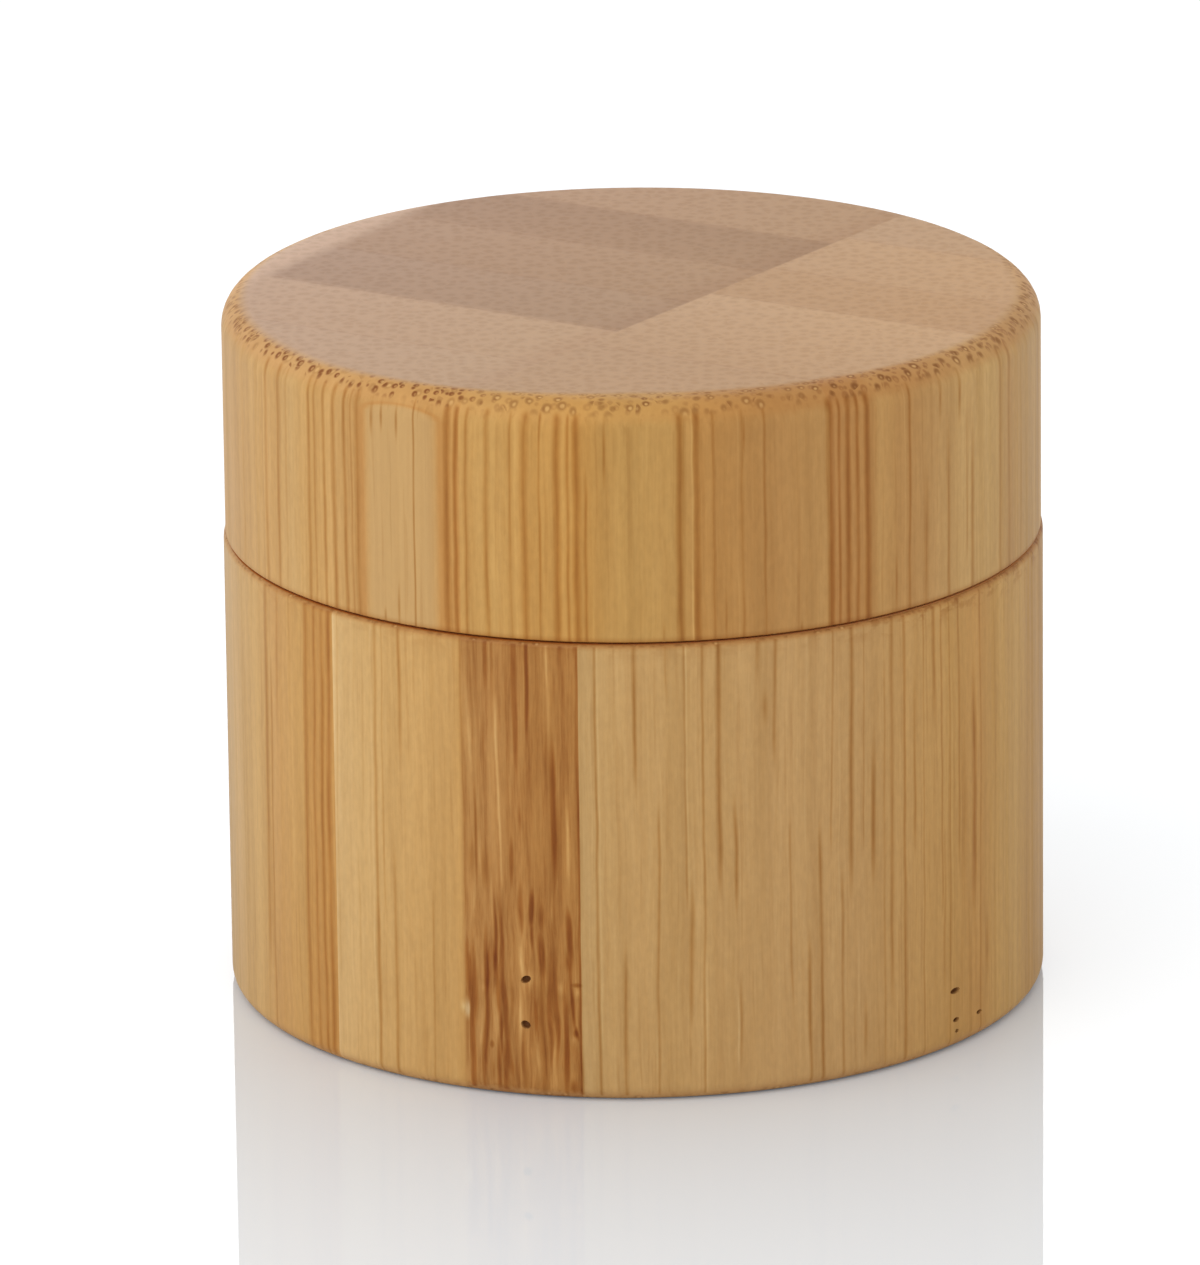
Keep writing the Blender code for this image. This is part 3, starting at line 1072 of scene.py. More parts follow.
    def strip_shade(self, g: Graph, place: Place) -> Socket:
        """Shade the glued-up strips.

        Args:
            g: The material's tree.
            place: The point in the blank.

        Returns:
            A brightness to multiply the wood with, as a colour.
        """
        span = 2 * self.reach_mm
        row = g.math("MULTIPLY_ADD", place.along, 1 / span, 0.5)
        tints = []
        for edges, shades in zip(self.strips.row_edges, self.strips.row_shades):
            starts = (-self.reach_mm, *edges)
            ends = (*edges, self.reach_mm)
            stops = []
            for start, end, (first, last, warmth) in zip(starts, ends, shades):
                stops.append((start / span + 0.5 + ROW_BLUR, row_colour(first, warmth)))
                stops.append((end / span + 0.5 - ROW_BLUR, row_colour(last, warmth)))
            tint = g.ramp(row, stops)
            for edge in edges:
                line = g.remap(g.math("ABSOLUTE", g.math("SUBTRACT", place.along, edge)), *GLUE_WIDTH)
                tint = g.mix(g.times(line, GLUE_SHARE), tint, GLUE_LINE)
            tints.append(tint)
        shade = tints[0]
        edges = zip(self.strips.column_edges, self.strips.column_slants, self.strips.column_blurs)
        for (edge, slant, blur), tint in zip(edges, tints[1:]):
            offset = g.math("MULTIPLY_ADD", place.along, -slant, place.across)
            beyond = g.remap(offset, edge - blur, edge + blur)
            near = g.remap(g.math("SUBTRACT", edge, offset), *GLUE_FADE)
            darker = g.times(near, g.rest(beyond))
            shade = g.tinted(shade, GLUE_SHADE, g.times(darker, GLUE_DARKNESS))
            shade = g.mix(beyond, shade, tint)
        return shade

    def side_tone_and_light(self, g: Graph, place: Place, shade: Socket) -> Socket:
        """Tint the side with the strips' tones and with painted light.

        Args:
            g: The material's tree.
            place: The point in the blank.
            shade: The shade of the strips, which carries on down the back.

        Returns:
            The tint of each strip that shows on the front, with painted sheen towards the left edge and, on
            the body, painted shade towards the right edge; and the plain strips behind.
        """
        tint: Socket | None = None
        for sector in self.tone_and_light_sectors:
            first = sector[0][0]
            span = sector[-1][0] - first
            share = g.math("MULTIPLY_ADD", place.azimuth, 1 / span, -first / span)
            part = g.ramp(share, [((azimuth - first) / span, (*tone, 1.0)) for azimuth, *tone in sector])
            beyond = g.math("GREATER_THAN", place.azimuth, first)
            tint = part if tint is None else g.mix(beyond, tint, part)
        return g.mix(place.behind, tint, shade)

    def plank(self, g: Graph, place: Place, colour: Socket) -> Socket:
        """Add the thin pale strip that the turning just cut into, with the dense skin round it.

        Args:
            g: The material's tree.
            place: The point in the blank.
            colour: The side's colour so far.

        Returns:
            The colour with the pale strip in it.
        """
        if self.plank_azimuth is None:
            return colour
        turn = math.radians(self.plank_azimuth)
        depth = g.dot(place.plain, (math.sin(turn), -math.cos(turn), 0.0))
        cut = self.radius_mm - self.plank_depth_mm
        steps = (SKIN_INSIDE, SKIN_OUTSIDE, PLANK_BLUR)
        inside, outside, wood = (g.remap(depth, cut + start, cut + end) for start, end in steps)
        colour = g.mix(g.times(inside, outside, PLANK_SKIN_SHARE), colour, PLANK_SKIN)
        return g.mix(g.times(wood, PLANK_SHARE), colour, PLANK_WOOD)

    def node_grain(self, g: Graph, place: Place, colour: Socket) -> Socket:
        """Roughen the strip that was cut at the culm's node, whose fibres run close and uneven.

        Args:
            g: The material's tree.
            place: The point in the blank.
            colour: The side's colour so far.

        Returns:
            The colour with the node's grain in it.
        """
        if self.node_zone is None:
            return colour
        left, right, _ = self.node_zone
        inside = g.remap(place.azimuth, *(left + step for step in NODE_EDGE))
        inside = g.times(inside, g.math("LESS_THAN", place.azimuth, right))
        colour = g.tinted(colour, g.ramp(g.noise(place.point, KNOT), KNOT_TINTS), inside)
        flame = g.ramp(g.noise(place.point, FLAME), FLAME_TINTS)
        return g.tinted(colour, flame, g.times(inside, g.remap(place.z, *FLAME_HEIGHTS)))

    def bundles(self, g: Graph, place: Place, pitch: float, least: float, most: float) -> tuple[Socket, ...]:
        """Grow fibre bundles up the strips.

        Args:
            g: The material's tree.
            place: The point in the blank.
            pitch: How far apart the bundles stand, in millimetres.
            least: The radius of the thinnest bundle, in millimetres.
            most: The radius of the thickest one.

        Returns:
            The dark sheath and the pale vessels inside it, each from 0 to 1, and the distance from the
            bundle's middle.
        """
        grain = (1 / pitch, 1 / pitch, 1 / self.bundle_length_mm)
        cell = g.vector("MULTIPLY", g.vector("ADD", place.point, self.shift_mm), grain)
        values = {"Vector": cell, "Scale": 1.0, "Randomness": BUNDLE_SCATTER}
        voronoi = g.add("ShaderNodeTexVoronoi", values, voronoi_dimensions="3D", feature="F1")
        chance = g.split(voronoi.outputs["Color"])
        limit = g.math("MULTIPLY_ADD", chance[0], (most - least) / pitch, least / pitch)
        offset = g.vector("SUBTRACT", cell, voronoi.outputs["Position"])
        offset = g.vector("MULTIPLY", offset, BUNDLE_SQUASH)
        away = g.measure("LENGTH", offset)
        ratio = g.math("DIVIDE", away, limit)
        right, back = HEART_SHIFT
        eye = g.vector("ADD", offset, (right / pitch, back / pitch, 0.0))
        heart = g.remap(g.math("DIVIDE", g.measure("LENGTH", eye), limit), *HEART_BLUR)
        rim = g.times(g.remap(ratio, *SHEATH_BLUR), g.rest(heart))
        return rim, heart, away

    def marked(self, g: Graph, place: Place, colour: Socket, upright: Socket) -> Socket:
        """Lay the placed streaks over the side.

        Args:
            g: The material's tree.
            place: The point in the blank.
            colour: The side's colour so far.
            upright: Where the surface is upright enough to cut a fibre lengthways.

        Returns:
            The colour with the streaks in it.
        """
        sheet = g.joined(X=place.arc, Y=g.math("DIVIDE", place.z, self.taper))
        faded = g.remap(g.noise(place.plain, FADE), *FADE_RANGE)
        for tone in Tone:
            covers = [self.cover(g, sheet, mark) for mark in self.marks if mark.tone is tone]
            if not covers:
                continue
            cover = covers[0]
            for other in covers[1:]:
                cover = g.math("MAXIMUM", cover, other)
            lit = g.times(g.remap(cover, *COVER_RANGE), upright, faded)
            stops = [(share, (*(part ** share for part in tone.value), 1.0)) for share in STAIN_SHARES]
            colour = g.tinted(colour, g.ramp(lit, stops))
        return colour

    def cover(self, g: Graph, sheet: Socket, mark: Mark) -> Socket:
        """Draw one streak.

        Args:
            g: The material's tree.
            sheet: The side laid flat, with its heights divided by the taper.
            mark: The streak.

        Returns:
            How strongly the streak covers a point, below zero outside it.
        """
        degree = self.radius_mm * math.radians(1.0)
        height = mark.head - mark.foot
        middle = (mark.head + mark.foot) / 2
        centre = mark.azimuth * degree
        width = mark.width * self.spread
        wide = 2 / width
        if mark.drift != 0.0:
            slope = mark.drift * degree / height
            beside = g.dot(sheet, (1.0, -slope * self.taper, 0.0))
            sheet = g.joined(X=beside, Y=g.dot(sheet, (0.0, 1.0, 0.0)))
            centre -= slope * middle
        if height > self.taper * width:
            low = (mark.foot / self.taper) + width / 2
            high = (mark.head / self.taper) - width / 2
            nearest = g.vector("MAXIMUM", sheet, (centre, low, 0.0))
            nearest = g.vector("MINIMUM", nearest, (centre, high, 0.0))
            away = g.measure("DISTANCE", sheet, nearest)
            return g.math("MULTIPLY_ADD", away, -mark.strength * wide, mark.strength)
        tall = 2 / (height * SHORT_STRETCH)
        shift = (-centre * wide, -middle * tall, 0.0)
        inside = g.vector("MULTIPLY_ADD", sheet, (wide, tall * self.taper, 0.0), shift)
        return g.math("MULTIPLY_ADD", g.measure("LENGTH", inside), -mark.strength, mark.strength)

    def painted_seam_shade(self, g: Graph, place: Place, colour: Socket) -> Socket:
        """Paint shade on the wood beside the seam, and patchy painted shade on the body just under the lid,
        stronger to the right.

        Args:
            g: The material's tree.
            place: The point in the blank.
            colour: The side's colour so far.

        Returns:
            The colour with the painted shade and the painted shadow along the seam.
        """
        below = g.math("SUBTRACT", self.seam_mm, place.z)
        apart = g.math("ABSOLUTE", below)
        near = g.times(g.remap(apart, *SEAM_SHADE_REACH), g.remap(place.azimuth, *SEAM_SHADE_TURN))
        # Patchy painted shade on the body just under the lid, stronger to the right
        under_lid_shade_share = g.times(
            g.remap(g.noise(place.plain, UNDER_LID_SHADE_NOISE), *UNDER_LID_SHADE_PATCHES),
            g.remap(below, *UNDER_LID_SHADE_REACH),
            g.remap(place.azimuth, *UNDER_LID_SHADE_TURN),
            g.math("GREATER_THAN", below, 0.0),
        )
        # Painted shade on the wood on both sides of the seam
        colour = g.tinted(colour, SEAM_SHADE_TINT, g.times(near, SEAM_SHADE_SHARE))
        colour = g.tinted(colour, UNDER_LID_SHADE, under_lid_shade_share)
        # The painted shadow of the seam's gap itself
        inside = g.mix(g.remap(place.azimuth, *SEAM_SHADOW_TURN), SEAM_SHADOW_LEFT, SEAM_SHADOW_RIGHT)
        return g.mix(g.remap(apart, *SEAM_SHADOW_WIDTH), colour, inside)

    def pits(self, g: Graph, place: Place) -> Socket:
        """Return where the surface dips into a pit of the node.

        Args:
            g: The material's tree.
            place: The point in the blank.

        Returns:
            1 in a pit, and 0 on the side, on the rounds and inside the shell.
        """
        dip = g.remap(place.reach, *(self.radius_mm - depth for depth in PIT_BLUR))
        outer = g.math("GREATER_THAN", place.reach, self.radius_mm - PIT_REACH)
        low, high = PIT_HEIGHTS
        clear = g.times(g.math("GREATER_THAN", place.z, low), g.math("LESS_THAN", place.z, high))
        return g.times(dip, outer, clear)


@dataclass(frozen=True)
class MouldedFinish:
    """White polypropylene from a spark-eroded mould, with a soft sheen."""

    name: str
    colour: Colour = srgb(238, 238, 235)
    texture_mm: float = 0.25
    roughness: tuple[float, float] = (0.30, 0.42)
    relief: float = 0.15
    relief_depth: float = 0.02 * MM

    def build(self) -> bpy.types.Material:
        """Make the material.

        Returns:
            A Principled material with a fine mould texture and slow flow marks.
        """
        material, g, shader = started(self.name)
        point = g.scaled(g.add("ShaderNodeTexCoord").outputs["Object"], MM_PER_METRE)
        grain = g.noise(point, Grain((1 / self.texture_mm,) * 3))
        tint = g.ramp(g.noise(point, FLOW), FLOW_TINTS)
        g.put(g.tinted(self.colour, tint), shader.inputs["Base Color"])
        g.put(g.remap(grain, *GRAIN_RANGE, *self.roughness), shader.inputs["Roughness"])
        g.put(g.bump(grain, self.relief, self.relief_depth), shader.inputs["Normal"])
        return material


@dataclass(frozen=True)
class FoamFinish:
    """Fine closed-cell polyethylene foam."""

    name: str
    colour: Colour = srgb(232, 231, 226)
    cell_mm: float = 0.22
    roughness: tuple[float, float] = (0.92, 0.80)
    relief: float = 0.4
    relief_depth: float = 0.06 * MM

    def build(self) -> bpy.types.Material:
        """Make the material.

        Returns:
            A matt Principled material with a skin of small cells.
        """
        material, g, shader = started(self.name)
        point = g.scaled(g.add("ShaderNodeTexCoord").outputs["Object"], MM_PER_METRE)
        values = {"Vector": g.scaled(point, 1 / self.cell_mm), "Scale": 1.0}
        cells = g.add("ShaderNodeTexVoronoi", values).outputs["Distance"]
        g.put(g.tinted(self.colour, g.ramp(cells, CELL_TINTS)), shader.inputs["Base Color"])
        g.put(g.remap(cells, *CELL_RANGE, *self.roughness), shader.inputs["Roughness"])
        g.put(g.bump(cells, self.relief, self.relief_depth), shader.inputs["Normal"])
        return material


@dataclass(frozen=True)
class Pit:
    """A small hollow in the body's side. The azimuth and the slant are in degrees, the rest in metres."""

    azimuth: float
    height: float
    width: float
    tall: float
    slant: float = 0.0
    depth: float = 0.35 * MM


BODY_STRIPS = Strips(
    turn=21.0,
    column_edges=(-20.3, -15.5, -10.7, 10.7, 15.5),
    column_slants=(0.0, 0.0, 0.0, 0.0, 0.0),
    column_blurs=(0.1, 0.1, 0.1, 0.1, 0.1),
    row_edges=((), (-6.0, 4.0), (-12.0, 2.0), (-14.6, -8.2, -1.6, 4.9, 11.2), (-9.0, 3.0), ()),
    row_shades=(
        ((1.0, 0.96, 0.0),),
        ((1.06, 1.0, 0.0), (0.95, 0.98, 0.05), (1.02, 1.0, 0.0)),
        ((0.80, 0.82, 0.1), (1.0, 0.97, 0.0), (0.93, 0.95, 0.0)),
        (
            (1.0, 1.02, 0.0), (0.94, 0.97, 0.05), (1.03, 1.0, 0.0), (0.9, 0.94, 0.05), (1.0, 1.03, 0.0),
            (0.95, 0.97, 0.0),
        ),
        ((0.97, 1.0, 0.0), (1.02, 1.0, 0.0), (0.93, 0.95, 0.05)),
        ((1.0, 0.97, 0.0),),
    ),
)

LID_STRIPS = Strips(
    turn=-31.5,
    column_edges=(-18.6, 4.0),
    column_slants=(0.0, 0.06),
    column_blurs=(0.8, 0.12),
    row_edges=((), (-21.78, -14.4, -7.1, -0.5, 6.6, 13.1), (-10.0, 1.6, 7.4, 14.5)),
    row_shades=(
        ((1.36, 1.36, -0.12),),
        (
            (1.12, 1.12, -0.06), (1.10, 1.11, -0.09), (1.10, 1.12, -0.05), (0.88, 0.92, -0.06),
            (0.91, 0.95, 0.01), (0.87, 0.84, 0.03), (1.0, 1.01, 0.02),
        ),
        (
            (1.05, 1.04, -0.04), (1.06, 1.18, -0.02), (1.05, 1.08, 0.07), (1.12, 1.16, 0.02),
            (1.10, 1.10, -0.06),
        ),
    ),
)

LID_SPAN = (5.0, 55.0)

LID_RINGS = (
    (-100.0, 0.4), (-60.0, 0.25), (-26.0, 0.3), (-20.0, 0.5), (0.0, 0.5), (2.0, 0.9), (5.0, 0.5),
    (26.0, 0.5), (29.0, 0.9), (50.0, 0.75), (100.0, 0.5),
)

LID_COMMAS = (
    (-100.0, 0.35), (-62.0, 1.0), (-26.0, 1.0), (-19.0, 0.3), (24.0, 0.25), (29.0, 0.5), (60.0, 0.55),
    (100.0, 0.3),
)

LID_BURNISH = (
    (-120.0, 1.1), (-50.0, 1.0), (-25.0, 1.55), (0.0, 2.3), (30.0, 1.9), (60.0, 1.3), (120.0, 1.1),
)

# The body's side tints by azimuth: the strips' own tones with painted light in them, a paler, cooler left
# edge as painted sheen and a darker right edge as painted shade
BODY_TONES_AND_LIGHT = (
    (
        (-90.0, 0.98, 1.14, 1.30), (-76.0, 1.05, 1.15, 1.20), (-66.0, 1.11, 1.18, 1.08),
        (-60.0, 1.02, 0.98, 0.82), (-53.5, 1.03, 1.01, 0.79), (-51.5, 0.99, 0.88, 0.60),
        (-46.3, 0.97, 0.85, 0.56),
    ),
    (
        (-46.3, 1.18, 1.32, 1.38), (-40.0, 1.14, 1.23, 1.18), (-36.0, 1.06, 1.09, 0.96),
        (-26.0, 1.02, 1.01, 0.83), (-24.9, 1.00, 0.96, 0.74), (-24.1, 0.79, 0.65, 0.44),
        (-20.0, 0.78, 0.63, 0.42), (-14.0, 0.73, 0.56, 0.33), (-7.8, 0.77, 0.60, 0.36),
    ),
    (
        (-7.8, 1.00, 1.08, 1.06), (-4.0, 0.97, 1.01, 0.93), (0.0, 0.95, 0.97, 0.88),
        (5.0, 1.01, 1.05, 0.97), (20.0, 0.97, 0.99, 0.94), (32.0, 0.97, 0.98, 0.92),
        (40.0, 1.01, 1.00, 0.86), (50.0, 0.97, 0.93, 0.70), (56.0, 0.98, 0.90, 0.65),
        (60.0, 1.02, 1.01, 0.77), (66.0, 1.09, 1.14, 0.96), (72.0, 0.95, 0.94, 0.74),
        (90.0, 0.80, 0.79, 0.66),
    ),
)

# The lid's side tints by azimuth: the strips' own tones, with a paler, cooler left edge as painted sheen
LID_TONES_AND_LIGHT = (
    (
        (-90.0, 1.01, 1.07, 1.06), (-76.0, 1.01, 1.04, 1.00), (-65.0, 1.07, 1.10, 1.00),
        (-60.0, 1.04, 1.03, 0.87), (-55.0, 1.10, 1.17, 1.10), (-50.0, 1.07, 1.05, 0.84),
        (-44.0, 1.06, 1.06, 0.92), (-41.5, 1.00, 0.95, 0.76), (-27.0, 0.98, 0.90, 0.66),
        (-24.4, 0.99, 0.87, 0.60),
    ),
    (
        (-24.4, 1.03, 0.98, 0.71), (-20.0, 1.03, 1.02, 0.77), (-15.0, 1.01, 0.94, 0.63),
        (-7.0, 1.00, 0.90, 0.56), (-4.0, 0.91, 0.86, 0.58), (0.0, 0.91, 0.89, 0.63),
        (5.5, 0.98, 0.96, 0.71), (9.5, 0.90, 0.79, 0.54), (20.0, 0.83, 0.74, 0.56),
        (28.0, 0.91, 0.86, 0.69),
    ),
    (
        (28.0, 0.87, 0.73, 0.54), (34.6, 0.88, 0.76, 0.56), (36.0, 0.97, 0.93, 0.75),
        (41.0, 0.89, 0.81, 0.64), (46.0, 0.92, 0.89, 0.76), (52.0, 1.03, 1.07, 0.97),
        (60.0, 1.03, 1.09, 0.97), (66.0, 0.96, 0.96, 0.84), (72.0, 0.91, 0.94, 0.86),
        (90.0, 0.97, 1.02, 0.95),
    ),
)


def marks_from(rows: Sequence[tuple[float, ...]], tone: Tone) -> tuple[Mark, ...]:
    """Return one mark for each row of azimuth, foot, head, width, strength and perhaps drift."""
    return tuple(Mark(*row, tone=tone) for row in rows)


def of_one_height(foot: float, head: float, rows: Sequence[Triple]) -> list[tuple[float, ...]]:
    """Return rows of azimuth, width and strength with that foot and head put in."""
    return [(azimuth, foot, head, width, strength) for azimuth, width, strength in rows]


def lid_marks() -> tuple[Mark, ...]:
    """Place the streaks of the lid's side, by the clusters that its strips show.

    Returns:
        The streaks. Most run from the seam to the round at the top.
    """
    full = (
        (-62.0, 0.40, 0.6), (-58.6, 0.35, 0.6), (-56.5, 0.25, 0.35), (-51.0, 0.35, 0.55),
        (-49.7, 0.25, 0.45), (-47.6, 0.30, 0.6), (-45.5, 0.35, 0.75), (-43.3, 0.30, 0.8),
        (-42.0, 0.20, 0.4), (-40.9, 0.40, 0.5), (-31.3, 0.14, 0.75), (-26.2, 0.45, 0.8),
        (-24.9, 0.30, 0.9), (-23.4, 0.25, 0.55), (-20.4, 0.40, 0.7), (-17.0, 0.22, 0.45),
        (-15.0, 0.50, 0.65), (-12.9, 0.18, 0.6), (-10.4, 0.45, 0.75), (-8.9, 0.25, 0.6),
        (-7.7, 0.45, 0.8), (6.6, 0.45, 0.8), (8.9, 0.40, 0.95), (11.2, 0.25, 0.4), (15.2, 0.25, 0.45),
        (18.3, 0.25, 0.5), (28.0, 0.45, 0.95), (29.4, 0.22, 0.7), (30.8, 0.38, 0.85), (32.3, 0.30, 0.8),
        (34.0, 0.40, 0.85), (41.5, 0.25, 0.6), (62.5, 0.40, 0.5), (65.5, 0.40, 0.5), (70.3, 0.4, 0.2),
        (-70.5, 0.9, 0.2), (1.0, 0.14, 0.2), (23.0, 0.2, 0.25),
    )
    part = (
        (-6.4, 22.0, 35.6, 0.25, 0.6), (-3.8, 33.0, 38.4, 0.20, 0.7), (44.8, 22.0, 34.2, 0.40, 0.6),
        (49.5, 22.0, 36.4, 0.30, 0.6), (55.0, 22.0, 35.8, 0.35, 0.6), (53.7, 26.0, 36.6, 0.2, 0.45),
        (47.6, 34.6, 38.0, 0.28, 0.7), (51.9, 34.4, 38.0, 0.28, 0.7), (-36.5, 35.6, 37.4, 0.18, 0.7),
        (-34.0, 35.2, 37.4, 0.18, 0.8), (-33.8, 24.6, 27.8, 0.18, 0.7), (39.0, 24.6, 29.4, 0.2, 0.6),
        (15.4, 34.8, 37.6, 0.2, 0.7), (-38.2, 35.2, 37.4, 0.22, 0.7), (12.8, 24.0, 28.4, 0.2, 0.5),
        (-36.2, 25.0, 26.2, 0.2, 0.6), (4.2, 25.0, 26.6, 0.2, 0.5), (23.5, 25.0, 26.0, 0.2, 0.5),
    )
    # Pale lines, partly pale fibre and partly painted highlight
    pale = ((8.3, 0.15, 0.55), (40.6, 0.12, 0.3), (-16.3, 0.2, 0.25), (-5.4, 0.2, 0.2), (14.6, 0.12, 0.3))
    streaks = [*of_one_height(*LID_SPAN, full), *part]
    return marks_from(streaks, Tone.STREAK) + marks_from(of_one_height(*LID_SPAN, pale), Tone.PALE_AND_HIGHLIGHT)


def body_marks() -> tuple[Mark, ...]:
    """Place the streaks of the body's side.

    Returns:
        The streaks, most of them shorter than the body.
    """
    plain = (
        (-62.7, 2.0, 33.0, 0.4, 0.65), (-61.2, -8.0, 22.0, 0.25, 0.5), (-59.4, 16.0, 33.0, 0.3, 0.4),
        (-52.2, -8.0, 33.0, 0.45, 0.6), (-50.2, -8.0, 33.0, 0.35, 0.6), (-48.6, -8.0, 33.0, 0.4, 0.6),
        (-47.2, -8.0, 33.0, 0.45, 0.75), (-45.4, 4.0, 33.0, 0.16, 0.35), (-41.6, -8.0, 14.0, 0.2, 0.25),
        (-38.2, -8.0, 33.0, 0.28, 0.6), (-37.0, 8.0, 33.0, 0.18, 0.4), (-35.3, -8.0, 13.8, 0.25, 0.6),
        (-34.0, 16.6, 33.0, 0.28, 0.65), (-29.3, -8.0, 11.6, 0.2, 0.4), (-5.4, -8.0, 33.0, 0.2, 0.6),
        (-1.7, -8.0, 9.8, 0.26, 0.64), (0.0, 16.0, 33.0, 0.26, 0.72), (3.0, -8.0, 17.4, 0.2, 0.51),
        (4.3, 21.0, 33.0, 0.2, 0.42), (6.8, 10.0, 33.0, 0.16, 0.45), (7.5, 3.0, 13.0, 0.28, 0.72),
        (9.3, -8.0, 33.0, 0.2, 0.55), (11.5, 10.2, 33.0, 0.32, 0.77), (13.8, 9.2, 17.6, 0.24, 0.68),
        (14.3, 0.6, 7.6, 0.22, 0.51), (17.0, 21.6, 33.0, 0.3, 0.51), (18.1, 20.2, 22.6, 0.35, 0.51),
        (19.5, 17.0, 33.0, 0.26, 0.59), (24.4, -8.0, 9.8, 0.26, 0.68), (26.3, -8.0, 15.6, 0.26, 0.68),
        (29.6, -8.0, 13.0, 0.22, 0.51), (31.0, 9.0, 33.0, 0.34, 0.68), (34.7, 9.6, 20.0, 0.32, 0.81),
        (33.2, 0.6, 4.8, 0.3, 0.51), (36.5, -8.0, 24.0, 0.2, 0.42), (37.8, 2.0, 33.0, 0.3, 0.55),
        (40.1, -8.0, 33.0, 0.26, 0.59), (42.0, 10.8, 22.6, 0.24, 0.51), (45.9, 17.4, 33.0, 0.34, 0.59),
        (47.8, 2.0, 14.0, 0.24, 0.42), (52.0, 5.0, 21.2, 0.7, 0.4), (54.4, 5.6, 22.6, 0.45, 0.75),
        (57.8, 2.2, 7.6, 0.4, 0.5), (60.0, -8.0, 33.0, 0.3, 0.25), (66.0, -8.0, 33.0, 0.5, 0.2),
        (43.7, -8.0, 33.0, 0.16, 0.45), (47.3, 7.0, 33.0, 0.18, 0.5), (49.0, -8.0, 33.0, 0.16, 0.45),
        (51.0, 9.0, 33.0, 0.22, 0.5), (56.1, -8.0, 27.0, 0.2, 0.5), (28.0, 12.0, 33.0, 0.16, 0.45),
        (21.8, 4.0, 16.0, 0.18, 0.45), (33.0, 12.0, 33.0, 0.14, 0.4),
    )
    # Pale lines, partly pale fibre and partly painted highlight beside the streaks
    pale = (
        (-46.2, -8.0, 33.0, 0.24, 0.31), (-38.9, -8.0, 33.0, 0.24, 0.31), (-6.9, -8.0, 33.0, 0.56, 0.19),
        (-5.0, 2.0, 33.0, 0.16, 0.37), (2.7, 0.6, 4.4, 0.18, 0.42), (7.1, 10.4, 33.0, 0.14, 0.37),
        (9.6, -8.0, 9.0, 0.16, 0.37), (13.9, 0.6, 7.0, 0.16, 0.42), (24.0, 12.0, 33.0, 0.18, 0.32),
        (29.2, 6.0, 33.0, 0.14, 0.26), (32.2, -8.0, 9.0, 0.19, 0.26), (-1.6, 0.4, 2.2, 0.16, 0.37),
        (49.5, 2.0, 20.0, 0.2, 0.25), (55.6, 3.0, 10.0, 0.24, 0.31),
    )
    return marks_from(plain, Tone.STREAK) + marks_from(pale, Tone.PALE_AND_HIGHLIGHT) + node_marks()


